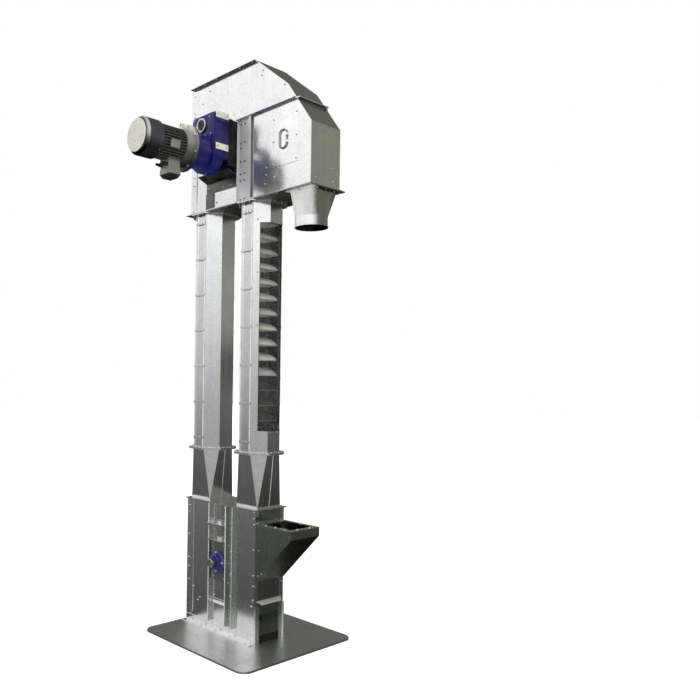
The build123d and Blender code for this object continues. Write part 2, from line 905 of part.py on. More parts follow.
# Floor plate of the head, open to both legs and to the spout
plate_length = head_length + 2 * head_flange
with BuildPart() as head_floor:
    with BuildSketch(Plane.XY.offset(head_plate_base)):
        with Locations((head_left + head_length / 2, 0)):
            Rectangle(plate_length, head_width + 2 * head_flange)
        with Locations((-leg_spacing / 2, 0), (leg_spacing / 2, 0)):
            RegularPolygon(
                leg_half - sheet, 8, major_radius=False, rotation=22.5, mode=Mode.SUBTRACT
            )
        with Locations((spout_top_x, 0)):
            Rectangle(
                spout_top_length - 2 * sheet,
                spout_top_width - 2 * sheet,
                mode=Mode.SUBTRACT,
            )
    extrude(amount=plate)
save(head_floor, "head_floor")

# Lower side of the head: folded out at top and bottom, notched for the shaft, open at the hatch
hatch_base = head_base + hatch_rise
hatch_centre_x = hatch_left + hatch_width / 2
hatch_centre_z = hatch_base + hatch_height / 2
notch_half = head_shaft_radius + 2 * plate
with BuildPart() as head_sides:
    with BuildSketch(near_side(head_side - sheet)):
        with BuildLine():
            Polyline(
                (head_left, head_base),
                (head_right, head_base),
                (head_right, brow),
                (seam_x, seam),
                (head_left, seam),
                close=True,
            )
        make_face()
        with Locations((hatch_centre_x, hatch_centre_z)):
            Rectangle(
                hatch_width - 2 * hatch_margin,
                hatch_height - 2 * hatch_margin,
                mode=Mode.SUBTRACT,
            )
        with Locations((0, head_shaft)):
            Circle(notch_half, mode=Mode.SUBTRACT)
            Rectangle(
                2 * notch_half,
                2 * shaft_below_seam,
                align=(Align.CENTER, Align.MIN),
                mode=Mode.SUBTRACT,
            )
    extrude(amount=sheet)
    with BuildSketch(Plane.XY.offset(head_base)):
        with Locations((head_left, -head_side)):
            Rectangle(head_length, head_flange, align=(Align.MIN, Align.MAX))
    extrude(amount=sheet)
    with BuildSketch(Plane.XY.offset(seam - sheet)):
        with Locations((head_left, -head_side)):
            Rectangle(head_overhang - seam_break, head_flange, align=(Align.MIN, Align.MAX))
        with Locations((seam_break, -head_side)):
            Rectangle(seam_x - seam_break, head_flange, align=(Align.MIN, Align.MAX))
    extrude(amount=sheet)
    mirror(about=Plane.XZ)
save(head_sides, "head_sides")

# Hood side: folded out along the seam and along the flat of the roof
with BuildPart() as hood_sides:
    with BuildSketch(near_side(head_side - sheet)):
        with BuildLine():
            Polyline(
                (head_left, seam),
                (seam_x, seam),
                (knee_x, knee),
                (apex_x, hood_top),
                (head_left, hood_top),
                close=True,
            )
        make_face()
    extrude(amount=sheet)
    with BuildSketch(Plane.XY.offset(seam)):
        with Locations((head_left, -head_side)):
            Rectangle(head_overhang - seam_break, head_flange, align=(Align.MIN, Align.MAX))
        with Locations((seam_break, -head_side)):
            Rectangle(seam_x - seam_break, head_flange, align=(Align.MIN, Align.MAX))
    extrude(amount=sheet)
    with BuildSketch(Plane.XY.offset(hood_top - sheet)):
        with Locations((head_left, -head_side)):
            Rectangle(apex_x - head_left, head_flange, align=(Align.MIN, Align.MAX))
    extrude(amount=sheet)
    mirror(about=Plane.XZ)
save(hood_sides, "hood_sides")

# End channels of the head and the hood, whose flanges lap over the sides
with BuildPart() as head_tail_ends:
    for bottom, top in ((head_base, seam), (seam, hood_top)):
        with BuildSketch(Plane.XY.offset(bottom + sheet)):
            with BuildLine():
                Polyline(
                    (head_left + head_lap, head_side + sheet),
                    (head_left - sheet, head_side + sheet),
                    (head_left - sheet, -head_side - sheet),
                    (head_left + head_lap, -head_side - sheet),
                )
                offset(amount=sheet, side=Side.LEFT, kind=Kind.INTERSECTION)
            make_face()
        extrude(amount=top - bottom - 2 * sheet)
save(head_tail_ends, "head_tail_ends")

# Roof: flat over the flanges, then bent down twice to the seam, where it is folded out
with BuildPart() as hood_roof:
    with BuildSketch(Plane.XZ):
        with BuildLine():
            Polyline(
                (apex_x - sheet, hood_top),
                (apex_x, hood_top),
                (knee_x, knee),
                (seam_x, seam),
            )
            offset(amount=sheet, side=Side.LEFT, kind=Kind.INTERSECTION)
        make_face()
        with Locations((seam_x, seam)):
            Rectangle(head_flange, sheet, align=(Align.MIN, Align.MIN))
    extrude(amount=head_side, both=True)
    with BuildSketch(Plane.XY.offset(hood_top)):
        with Locations((head_left - sheet, 0)):
            Rectangle(
                apex_x - head_left + sheet,
                head_width + 2 * head_flange,
                align=(Align.MIN, Align.CENTER),
            )
    extrude(amount=sheet)
    split(bisect_by=Plane.XY.offset(seam), keep=Keep.TOP)
save(hood_roof, "hood_roof")

# Discharge end below the seam: one bend at the brow, folded out along the seam and at the foot
with BuildPart() as discharge_skin:
    with BuildSketch(Plane.XZ):
        with BuildLine():
            Polyline((seam_x, seam), (head_right, brow), (head_right, head_base))
            offset(amount=sheet, side=Side.LEFT, kind=Kind.INTERSECTION)
        make_face()
        with Locations((seam_x + sheet, seam)):
            Rectangle(head_flange - sheet, sheet, align=(Align.MIN, Align.MAX))
        with Locations((head_right, head_base)):
            Rectangle(head_flange, sheet, align=(Align.MIN, Align.MIN))
    extrude(amount=head_side, both=True)
    split(bisect_by=Plane.XY.offset(seam), keep=Keep.BOTTOM)
save(discharge_skin, "discharge_skin")

# Shallow channels bolted up both lower sides between the belt and the discharge
with BuildPart() as head_straps:
    with BuildSketch(Plane.XY.offset(head_base + sheet)):
        with BuildLine():
            Polyline(
                (strap_left, -head_side - strap_depth),
                (strap_left, -head_side),
                (strap_left + strap_width, -head_side),
                (strap_left + strap_width, -head_side - strap_depth),
                (strap_left + strap_width + strap_edge, -head_side - strap_depth),
            )
            offset(amount=sheet, side=Side.RIGHT, kind=Kind.INTERSECTION)
        make_face()
    extrude(amount=head_wall_height - 2 * sheet)
    mirror(about=Plane.XZ)
save(head_straps, "head_straps")

# Bolted hatch covers with folded edges, and the lugs that their handles turn in
handle_x = hatch_centre_x + handle_bow / 3
handle_y = head_side + sheet + handle_lug / 2
lug_levels = (
    hatch_centre_z - handle_height / 2 + handle_lug_inset,
    hatch_centre_z + handle_height / 2 - handle_lug_inset,
)
with BuildPart() as hatch_covers:
    with BuildSketch(near_side(head_side)):
        with Locations((hatch_centre_x, hatch_centre_z)):
            Rectangle(hatch_width, hatch_height)
    extrude(amount=sheet)
    with BuildSketch(near_side(head_side + sheet)):
        with Locations(*((handle_x, level) for level in lug_levels)):
            Rectangle(handle_lug, handle_lug)
    extrude(amount=handle_lug)
    for level in lug_levels:
        with BuildSketch(Plane.XY.offset(level - handle_lug)):
            with Locations((handle_x, -handle_y)):
                Circle(handle_wire + running_gap)
        extrude(amount=2 * handle_lug, mode=Mode.SUBTRACT)
    mirror(about=Plane.XZ)
save(hatch_covers, "hatch_covers")

# Folding bow handle: a straight bar in the lugs and a bow that lies flat beside it
bow_half = handle_height / 2
with BuildPart() as handle_near:
    with BuildLine(Plane.XZ.offset(handle_y)):
        FilletPolyline(
            (handle_x, hatch_centre_z),
            (handle_x, hatch_centre_z + bow_half),
            (handle_x - handle_bow, hatch_centre_z + bow_half),
            (handle_x - handle_bow, hatch_centre_z - bow_half),
            (handle_x, hatch_centre_z - bow_half),
            (handle_x, hatch_centre_z - 1),
            radius=handle_bend,
        )
        Line((handle_x, hatch_centre_z - 1), (handle_x, hatch_centre_z))
    with BuildSketch(Plane.XY.offset(hatch_centre_z)):
        with Locations((handle_x, -handle_y)):
            Circle(handle_wire)
    sweep()
save(handle_near, "handle_near")

with BuildPart() as handle_far:
    mirror(handle_near.part, about=Plane.XZ)
save(handle_far, "handle_far")

# Round cover low on the far side, over the rising leg
round_cover_x = head_left + head_lap + 1.2 * round_cover_radius
with BuildPart() as round_cover:
    with BuildSketch(Plane.XZ.offset(-head_side)):
        with Locations((round_cover_x, head_base + 2 * round_cover_radius)):
            Circle(round_cover_radius)
    extrude(amount=-sheet)
save(round_cover, "round_cover")

# Spout: a sheet cone from the rectangle in the head's floor down to the round collar
spout_base = head_plate_base - spout_height


def spout_block(inset):
    with BuildPart() as block:
        with BuildSketch(Plane.XY.offset(head_plate_base)):
            with Locations((spout_top_x, 0)):
                Rectangle(spout_top_length - 2 * inset, spout_top_width - 2 * inset)
        with BuildSketch(Plane.XY.offset(spout_base)):
            with Locations((spout_centre_x, 0)):
                Circle(collar_radius - inset)
        loft()
    return block.part


with BuildPart() as spout:
    add(spout_block(0))
    with BuildSketch(Plane.XY.offset(head_plate_base - sheet)):
        with Locations((spout_top_x, 0)):
            Rectangle(spout_top_length + 2 * spout_flange, spout_top_width + 2 * spout_flange)
    extrude(amount=sheet)
    add(spout_block(sheet), mode=Mode.SUBTRACT)
save(spout, "spout")

# Round collar with a rolled lip, which the outlet pipe clamps to
with BuildPart() as spout_collar:
    with BuildSketch(Plane.XY.offset(spout_base - collar_height)):
        with Locations((spout_centre_x, 0)):
            Circle(collar_radius)
    extrude(amount=collar_height)
    with BuildSketch(Plane.XY.offset(spout_base - collar_height)):
        with Locations((spout_centre_x, 0)):
            Circle(collar_radius + collar_lip)
    extrude(amount=collar_lip)
    with BuildSketch(Plane.XY.offset(spout_base - collar_height)):
        with Locations((spout_centre_x, 0)):
            Circle(collar_radius - sheet)
    extrude(amount=collar_height, mode=Mode.SUBTRACT)
save(spout_collar, "spout_collar")

# Plates that close the shaft notches and carry the head bearings
plate_drop = bearing_plate_height - shaft_below_seam - gear_top
with BuildPart() as bearing_plates:
    with BuildSketch(near_side(head_side)):
        with Locations((0, head_shaft - plate_drop)):
            Rectangle(
                bearing_plate_width,
                bearing_plate_height,
                align=(Align.CENTER, Align.MIN),
            )
        with Locations((0, head_shaft)):
            Circle(head_shaft_radius + sheet, mode=Mode.SUBTRACT)
    extrude(amount=plate)
    mirror(about=Plane.XZ)
save(bearing_plates, "bearing_plates")

with BuildPart() as head_bearings:
    add(flange_bearing(far_bearing_face, head_shaft, head_bearing_square, head_shaft_radius))
    mirror(about=Plane.XZ)
save(head_bearings, "head_bearings")

# U-shaped stool, open on top, that holds the gear unit off the head around the near bearing
stool_top = head_shaft + shaft_below_seam - 2 * sheet
stool_bottom = head_shaft - gear_offset - 2 * stool_wall - gear_foot_radius / 2
stool_middle_x = (gear_right - gear_left) / 2
with BuildPart() as gear_stool:
    with BuildSketch(near_side(head_side)):
        with Locations((stool_middle_x, stool_bottom)):
            Rectangle(
                gear_left + gear_right,
                stool_top - stool_bottom,
                align=(Align.CENTER, Align.MIN),
            )
        with Locations((stool_middle_x, stool_bottom + stool_wall)):
            Rectangle(
                gear_left + gear_right - 2 * stool_wall,
                stool_top - stool_bottom,
                align=(Align.CENTER, Align.MIN),
                mode=Mode.SUBTRACT,
            )
    extrude(amount=stool_depth)
save(gear_stool, "gear_stool")

# Gear unit: a flat casting, rounded about the motor's axis, with machined pads on its flanks
gear_width = gear_left + gear_right
pad_depth = gear_depth - 2 * gear_cover
pad_middle = -gear_back - (pad_depth + gear_cover) / 2


def gear_outline(inset):
    # Square above and round below, smaller by the inset all round
    with BuildSketch() as outline:
        with Locations((0, motor_axis)):
            Circle(gear_foot_radius - inset)
        with Locations((stool_middle_x, motor_axis)):
            Rectangle(
                gear_width - 2 * inset,
                2 * gear_foot_radius,
                mode=Mode.INTERSECT,
            )
            Rectangle(
                gear_width - 2 * inset,
                gear_offset + gear_top - inset,
                align=(Align.CENTER, Align.MIN),
            )
        fillet(outline.vertices().group_by(Axis.Y)[-1], radius=gear_corner)
    return outline.sketch


with BuildPart() as gear_housing:
    with BuildSketch(near_side(gear_back)):
        add(gear_outline(0))
    extrude(amount=gear_depth - gear_cover)
    with BuildSketch(near_side(gear_front - gear_cover)):
        add(gear_outline(gear_cover / 2))
    extrude(amount=gear_cover)
    for face_x, way in ((gear_right, 1), (-gear_left, -1)):
        with BuildSketch(Plane.YZ.offset(face_x)):
            with Locations(
                (pad_middle, head_shaft + gear_top - pad_height),
                (pad_middle, motor_axis + pad_height / 2),
            ):
                Rectangle(pad_depth, pad_height)
        extrude(amount=way * pad_rise)
    with BuildSketch(near_side(gear_back)):
        with Locations((0, head_shaft)):
            Circle(boss_radius + running_gap)
    extrude(amount=gear_depth, mode=Mode.SUBTRACT)
    with BuildSketch(near_side(gear_back)):
        with Locations((stool_middle_x, motor_axis - bowl_drop)):
            Rectangle(gear_width + 2 * pad_rise, gear_foot_radius, align=(Align.CENTER, Align.MAX))
    extrude(amount=bowl_setback, mode=Mode.SUBTRACT)
save(gear_housing, "gear_housing")

with BuildPart() as output_sleeve:
    with BuildSketch(near_side(gear_back - boss_rise)):
        with Locations((0, head_shaft)):
            Circle(boss_radius)
            Circle(head_shaft_radius + running_gap, mode=Mode.SUBTRACT)
    extrude(amount=gear_depth + 2 * boss_rise)
save(output_sleeve, "output_sleeve")

# Round adapter between the gear housing and the motor flange
shaft_bore = motor_shaft_radius + running_gap
with BuildPart() as motor_adapter:
    with BuildSketch(across(motor_axis)):
        with BuildLine():
            Polyline(
                (-gear_front, shaft_bore),
                (-gear_front, adapter_radius),
                (-flange_back + motor_flange_thickness, adapter_radius),
                (-flange_back + motor_flange_thickness, motor_flange_radius),
                (-flange_back, motor_flange_radius),
                (-flange_back, shaft_bore),
                close=True,
            )
        make_face()
    revolve(axis=shaft_line(motor_axis))
save(motor_adapter, "motor_adapter")

# Motor: end shield with its flange, finned body and the rear spigot that holds the cowl
with BuildPart() as motor_shield:
    with BuildSketch(across(motor_axis)):
        with BuildLine():
            Polyline(
                (-flange_back, shaft_bore),
                (-flange_back, motor_flange_radius),
                (-flange_front, motor_flange_radius),
                (-flange_front, shield_radius),
                (-shield_front, fin_radius),
                (-shield_front, shaft_bore),
                close=True,
            )
        make_face()
    revolve(axis=shaft_line(motor_axis))
    with BuildSketch(near_side(flange_front)):
        with Locations((0, motor_axis + fin_radius)):
            Rectangle(lug_width, lug_rise, align=(Align.CENTER, Align.MIN))
        with Locations((0, motor_axis + fin_radius + lug_rise)):
            Circle(lug_width / 2)
            Circle(lug_eye, mode=Mode.SUBTRACT)
    extrude(amount=shield_length / 2)
save(motor_shield, "motor_shield")

box_seat = fin_radius + plate
box_front = motor_front - box_setback
box_middle = box_front - box_length / 2
with BuildPart() as motor_body:
    with BuildSketch(near_side(shield_front)):
        with Locations((0, motor_axis)):
            Circle(motor_core)
            with PolarLocations(0, fin_count):
                with Locations((motor_core - sheet, 0)):
                    Rectangle(
                        fin_radius - motor_core + sheet,
                        fin_thickness,
                        align=(Align.MIN, Align.CENTER),
                    )
            Circle(shaft_bore, mode=Mode.SUBTRACT)
    extrude(amount=motor_length)
    with BuildSketch(near_side(box_front - box_length)):
        with Locations((0, motor_axis - motor_core + sheet)):
            Rectangle(
                box_width - 2 * box_corner,
                box_seat - motor_core + sheet,
                align=(Align.CENTER, Align.MAX),
            )
    extrude(amount=box_length)
    with BuildSketch(near_side(motor_front)):
        with Locations((0, motor_axis)):
            Circle(cowl_radius - cowl_wall - seat_gap)
            Circle(shaft_bore, mode=Mode.SUBTRACT)
    extrude(amount=3 * plate)
save(motor_body, "motor_body")

# Fan cowl: a sheet cup with a domed rim and rings of curved slots between spokes in its end
cowl_seat = motor_front + sheet


def cowl_outline(inset):
    # Half section of the cup, smaller by the inset all round: its x runs along the motor's axis
    rim = cowl_radius - inset
    face = cowl_face_radius - inset
    crown = cowl_front - inset
    shoulder = cowl_front - cowl_dome
    with BuildLine() as outline:
        Polyline((-crown, face), (-crown, 0), (-cowl_seat, 0), (-cowl_seat, rim), (-shoulder, rim))
        RadiusArc((-shoulder, rim), (-crown, face), cowl_dome)
    return outline.line


with BuildPart() as fan_cowl:
    with BuildSketch(across(motor_axis)):
        make_face(cowl_outline(0).edges())
        make_face(cowl_outline(cowl_wall).edges(), mode=Mode.SUBTRACT)
    revolve(axis=shaft_line(motor_axis))
    with BuildSketch(near_side(cowl_front - 2 * cowl_wall)):
        with Locations((0, motor_axis)):
            for ring in range(cowl_slot_rings):
                slot_rim = cowl_face_radius - (ring + 1) * cowl_slot_pitch + cowl_slot_width
                Circle(slot_rim)
                Circle(slot_rim - cowl_slot_width, mode=Mode.SUBTRACT)
            with PolarLocations(0, cowl_spokes):
                Rectangle(
                    cowl_radius,
                    cowl_spoke_width,
                    align=(Align.MIN, Align.CENTER),
                    mode=Mode.SUBTRACT,
                )
    extrude(amount=3 * cowl_wall, mode=Mode.SUBTRACT)
save(fan_cowl, "fan_cowl")

motor_shaft_start = flange_back - motor_length / 2
with BuildPart() as motor_shaft:
    with BuildSketch(near_side(motor_shaft_start)):
        with Locations((0, motor_axis)):
            Circle(motor_shaft_radius)
    extrude(amount=cowl_front - fan_clearance - motor_shaft_start)
save(motor_shaft, "motor_shaft")

# Cooling fan on the rear end of the motor shaft
fan_back = cowl_front - fan_clearance - fan_depth
with BuildPart() as cooling_fan:
    with BuildSketch(near_side(fan_back)):
        with Locations((0, motor_axis)):
            Circle(fan_radius)
    extrude(amount=sheet)
    with BuildSketch(near_side(fan_back)):
        with Locations((0, motor_axis)):
            Circle(2 * motor_shaft_radius)
            with PolarLocations(0, fan_blades):
                with Locations((motor_shaft_radius + sheet, 0)):
                    Rectangle(
                        fan_radius - motor_shaft_radius - sheet,
                        sheet,
                        align=(Align.MIN, Align.CENTER),
                    )
    extrude(amount=fan_depth)
    with BuildSketch(near_side(fan_back)):
        with Locations((0, motor_axis)):
            Circle(motor_shaft_radius + running_gap)
    extrude(amount=fan_depth, mode=Mode.SUBTRACT)
save(cooling_fan, "cooling_fan")

# Terminal box under the motor, with its lid downwards and two cable glands
box_top = motor_axis - box_seat
lid_top = box_top - box_height
lid_bottom = lid_top - box_lid
gland_level = box_top - box_height / 2
gland_places = ((-box_width / 4, gland_level), (box_width / 4, gland_level))
with BuildPart() as terminal_box:
    with BuildSketch(Plane.XY.offset(lid_top)):
        with Locations((0, -box_middle)):
            RectangleRounded(box_width - 2 * lid_lip, box_length - 2 * lid_lip, box_corner)
    extrude(amount=box_height)
    with BuildSketch(Plane.XY.offset(lid_bottom)):
        with Locations((0, -box_middle)):
            RectangleRounded(box_width, box_length, box_corner)
    extrude(amount=box_lid)
    with BuildSketch(Plane.XY.offset(lid_bottom)):
        with Locations((0, -box_middle)):
            RectangleRounded(box_width, box_length, box_corner)
    extrude(amount=-lid_taper, taper=lid_slope)
save(terminal_box, "terminal_box")

with BuildPart() as cable_glands:
    with BuildSketch(near_side(box_front - lid_lip)):
        with Locations(*gland_places):
            RegularPolygon(gland_radius, 6)
    extrude(amount=gland_length / 2)
    with BuildSketch(near_side(box_front - lid_lip + gland_length / 2)):
        with Locations(*gland_places):
            Circle(0.7 * gland_radius)
    extrude(amount=gland_length / 2)
save(cable_glands, "cable_glands")

# Folded brackets: the near one slopes down to the head from the front of the stool and stands on
# a shallow channel, and the far one is a shelf under the bearing
bracket_top = stool_bottom - bracket_drop
bracket_foot = bracket_top - bracket_slope
far_shelf_top = head_shaft - plate_drop
with BuildPart() as shelf_brackets:
    with BuildSketch(Plane.YZ.offset(-bracket_left)):
        with BuildLine():
            Polyline(
                (-head_side, bracket_foot - bracket_height),
                (-head_side, bracket_foot),
                (-gear_back, bracket_top),
                (-gear_back, bracket_top + sheet),
            )
            offset(amount=sheet, side=Side.LEFT, kind=Kind.INTERSECTION)
        make_face()
    extrude(amount=bracket_left + gear_right)
    with BuildSketch(Plane.XY.offset(head_base + sheet)):
        with BuildLine():
            Polyline(
                (-bracket_left, -head_side),
                (-bracket_left, -head_side - bracket_post_depth),
                (bracket_post - bracket_left, -head_side - bracket_post_depth),
                (bracket_post - bracket_left, -head_side),
            )
            offset(amount=sheet, side=Side.LEFT, kind=Kind.INTERSECTION)
        make_face()
    extrude(amount=bracket_foot - bracket_height - head_base - sheet)
    with BuildSketch(Plane.YZ.offset(-bearing_plate_width / 2)):
        with BuildLine():
            Polyline(
                (head_side, far_shelf_top - bracket_height),
                (head_side, far_shelf_top - sheet),
                (head_side + far_shelf_reach, far_shelf_top - sheet),
            )
            offset(amount=sheet, side=Side.RIGHT, kind=Kind.INTERSECTION)
        make_face()
    extrude(amount=bearing_plate_width)
save(shelf_brackets, "shelf_brackets")
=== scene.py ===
import math

import bpy
from mathutils import Matrix, Vector


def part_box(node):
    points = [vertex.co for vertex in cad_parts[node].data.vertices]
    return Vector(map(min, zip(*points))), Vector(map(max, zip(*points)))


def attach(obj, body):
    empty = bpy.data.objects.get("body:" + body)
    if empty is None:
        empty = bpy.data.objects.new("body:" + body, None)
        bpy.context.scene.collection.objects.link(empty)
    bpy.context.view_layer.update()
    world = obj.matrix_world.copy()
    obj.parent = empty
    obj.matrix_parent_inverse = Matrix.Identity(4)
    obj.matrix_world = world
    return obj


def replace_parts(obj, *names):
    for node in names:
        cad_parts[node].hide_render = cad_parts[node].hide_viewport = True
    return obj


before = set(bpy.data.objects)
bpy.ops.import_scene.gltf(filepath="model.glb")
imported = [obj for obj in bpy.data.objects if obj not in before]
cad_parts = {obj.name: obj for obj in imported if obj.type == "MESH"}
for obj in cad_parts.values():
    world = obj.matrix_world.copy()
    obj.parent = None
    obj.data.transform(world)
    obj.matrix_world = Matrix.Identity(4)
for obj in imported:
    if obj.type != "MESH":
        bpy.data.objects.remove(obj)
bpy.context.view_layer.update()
MM = 0.001


# Steps that node trees share
def group_tree(name, inputs, outputs):
    """An empty node group with its sockets, and its two end nodes."""
    tree = bpy.data.node_groups.new(name, "ShaderNodeTree")
    for label, kind, value in inputs:
        socket = tree.interface.new_socket(label, in_out="INPUT", socket_type=kind)
        if value is not None:
            socket.default_value = value
    for label, kind in outputs:
        tree.interface.new_socket(label, in_out="OUTPUT", socket_type=kind)
    enter = tree.nodes.new("NodeGroupInput")
    leave = tree.nodes.new("NodeGroupOutput")
    return tree, enter, leave


def add_node(tree, kind, **settings):
    node = tree.nodes.new(kind)
    for key, value in settings.items():
        setattr(node, key, value)
    return node


def feed(tree, socket, value):
    """Joins an output to a socket, or sets the socket to a plain value."""
    if hasattr(value, "is_output"):
        tree.links.new(value, socket)
    else:
        socket.default_value = value


def math_node(tree, operation, first, second=0.0, third=0.0, clamp=False):
    node = add_node(tree, "ShaderNodeMath", operation=operation, use_clamp=clamp)
    for socket, value in zip(node.inputs, (first, second, third)):
        feed(tree, socket, value)
    return node.outputs[0]


def times(tree, first, second, clamp=False):
    return math_node(tree, "MULTIPLY", first, second, clamp=clamp)


def less(tree, first, second):
    return math_node(tree, "SUBTRACT", first, second)


def absolute(tree, value):
    return math_node(tree, "ABSOLUTE", value)


def noise(tree, vector, scale, detail=3.0, roughness=0.5):
    node = add_node(tree, "ShaderNodeTexNoise")
    feed(tree, node.inputs["Vector"], vector)
    feed(tree, node.inputs["Scale"], scale)
    node.inputs["Detail"].default_value = detail
    node.inputs["Roughness"].default_value = roughness
    return node.outputs["Fac"]


def spread(tree, value, low, high, to_low=0.0, to_high=1.0):
    """Maps one range of values to another, held at both ends."""
    node = add_node(tree, "ShaderNodeMapRange")
    feed(tree, node.inputs["Value"], value)
    for label, number in (
        ("From Min", low),
        ("From Max", high),
        ("To Min", to_low),
        ("To Max", to_high),
    ):
        feed(tree, node.inputs[label], number)
    return node.outputs["Result"]


def blend_colours(tree, factor, first, second, blend="MIX"):
    """The first colour at zero, the second at one."""
    node = add_node(tree, "ShaderNodeMix", data_type="RGBA", blend_type=blend)
    feed(tree, node.inputs[0], factor)
    feed(tree, node.inputs[6], first)
    feed(tree, node.inputs[7], second)
    return node.outputs[2]


def added(tree, start, *parts):
    """Adds to a start each part times its weight."""
    for value, weight in parts:
        start = math_node(tree, "MULTIPLY_ADD", value, weight, start)
    return start


def stretched(tree, vector, scale):
    node = add_node(tree, "ShaderNodeMapping")
    feed(tree, node.inputs["Vector"], vector)
    node.inputs["Scale"].default_value = scale
    return node.outputs["Vector"]


def bumped(tree, height, strength, distance, normal=None):
    node = add_node(tree, "ShaderNodeBump")
    feed(tree, node.inputs["Height"], height)
    feed(tree, node.inputs["Strength"], strength)
    feed(tree, node.inputs["Distance"], distance)
    if normal is not None:
        feed(tree, node.inputs["Normal"], normal)
    return node.outputs["Normal"]


# Node groups that several finishes use
VECTOR = "NodeSocketVector"
COLOUR = "NodeSocketColor"
NUMBER = "NodeSocketFloat"
COAT_OUTPUTS = (("Colour", COLOUR), ("Roughness", NUMBER), ("Normal", VECTOR))
STREAK_STRETCH = (55.0, 55.0, 1.6)
WAVE_STRETCH = (2.6, 2.6, 1.3)
SCRATCH_STRETCH = (14.0, 260.0, 40.0)


def make_zinc_group():
    """Zinc-coated sheet: crystals, rolling streaks, slow waviness of the thin sheet."""
    tree, enter, leave = group_tree(
        "zinc_coating",
        (
            ("Vector", VECTOR, None),
            ("Light", COLOUR, (0.80, 0.81, 0.82, 1.0)),
            ("Dark", COLOUR, (0.55, 0.56, 0.57, 1.0)),
            ("Crystals", NUMBER, 120.0),
            ("Roughness", NUMBER, 0.32),
            ("Waviness", NUMBER, 0.4),
        ),
        COAT_OUTPUTS,
    )
    place = enter.outputs["Vector"]
    crystal = add_node(tree, "ShaderNodeTexVoronoi", feature="F1")
    feed(tree, crystal.inputs["Vector"], place)
    feed(tree, crystal.inputs["Scale"], enter.outputs["Crystals"])
    grain = add_node(tree, "ShaderNodeSeparateColor")
    feed(tree, grain.inputs[0], crystal.outputs["Color"])
    streaks = noise(tree, stretched(tree, place, STREAK_STRETCH), 1.0, 4.0)
    patches = noise(tree, place, 5.0, 4.0, 0.6)
    fine = noise(tree, place, 420.0, 2.0)
    tone = added(tree, 0.0, (grain.outputs[0], 0.34), (streaks, 0.42), (patches, 0.62))
    tone = spread(tree, tone, 0.35, 1.0)
    colour = blend_colours(tree, tone, enter.outputs["Dark"], enter.outputs["Light"])
    feed(tree, leave.inputs["Colour"], colour)
    rough_parts = (grain.outputs[1], 0.07), (patches, -0.10), (streaks, 0.06)
    feed(tree, leave.inputs["Roughness"], added(tree, enter.outputs["Roughness"], *rough_parts))
    wave = noise(tree, stretched(tree, place, WAVE_STRETCH), 1.0, 1.0, 0.4)
    sway = bumped(tree, wave, enter.outputs["Waviness"], 0.03)
    relief = added(tree, grain.outputs[2], (fine, 0.4))
    feed(tree, leave.inputs["Normal"], bumped(tree, relief, 0.06, 0.0004, sway))
    return tree


def make_wear_group():
    """Handling marks: short scratches and rubbed, dusty patches, as two masks."""
    tree, enter, leave = group_tree(
        "handling_marks",
        (
            ("Vector", VECTOR, None),
            ("Scratches", NUMBER, 0.5),
            ("Dust", NUMBER, 0.5),
        ),
        (("Scratch Mask", NUMBER), ("Dust Mask", NUMBER)),
    )
    place = enter.outputs["Vector"]
    warp = noise(tree, place, 9.0, 2.0)
    bent = add_node(tree, "ShaderNodeVectorMath", operation="MULTIPLY_ADD")
    feed(tree, bent.inputs[0], place)
    bent.inputs[1].default_value = (1.0, 1.0, 1.0)
    feed(tree, bent.inputs[2], warp)
    lines = noise(tree, stretched(tree, bent.outputs[0], SCRATCH_STRETCH), 1.0, 2.0)
    thin = spread(tree, lines, 0.66, 0.70)
    where = spread(tree, noise(tree, place, 6.0, 3.0), 0.50, 0.62)
    scratch = times(tree, thin, where)
    scratch = times(tree, scratch, enter.outputs["Scratches"])
    feed(tree, leave.inputs["Scratch Mask"], scratch)
    dust = spread(tree, noise(tree, place, 12.0, 6.0, 0.65), 0.46, 0.70)
    dust = times(tree, dust, enter.outputs["Dust"], clamp=True)
    feed(tree, leave.inputs["Dust Mask"], dust)
    return tree


def make_paint_group():
    """Sprayed coat: slight orange peel, tone drift and rougher dusty areas."""
    tree, enter, leave = group_tree(
        "sprayed_coat",
        (
            ("Vector", VECTOR, None),
            ("Colour", COLOUR, (0.1, 0.1, 0.1, 1.0)),
            ("Worn", COLOUR, (0.2, 0.2, 0.2, 1.0)),
            ("Roughness", NUMBER, 0.3),
            ("Peel", NUMBER, 260.0),
            ("Relief", NUMBER, 0.15),
        ),
        COAT_OUTPUTS,
    )
    place = enter.outputs["Vector"]
    drift = noise(tree, place, 14.0, 4.0, 0.6)
    marks = spread(tree, noise(tree, place, 60.0, 6.0, 0.7), 0.58, 0.74)
    factor = times(tree, marks, 0.45)
    factor = math_node(tree, "MULTIPLY_ADD", drift, 0.25, factor, clamp=True)
    colour = blend_colours(tree, factor, enter.outputs["Colour"], enter.outputs["Worn"])
    feed(tree, leave.inputs["Colour"], colour)
    rough = added(tree, enter.outputs["Roughness"], (drift, 0.16), (marks, 0.10))
    feed(tree, leave.inputs["Roughness"], rough)
    peel = noise(tree, place, enter.outputs["Peel"], 2.0)
    feed(tree, leave.inputs["Normal"], bumped(tree, peel, enter.outputs["Relief"], 0.001))
    return tree


zinc_group = make_zinc_group()
wear_group = make_wear_group()
paint_group = make_paint_group()


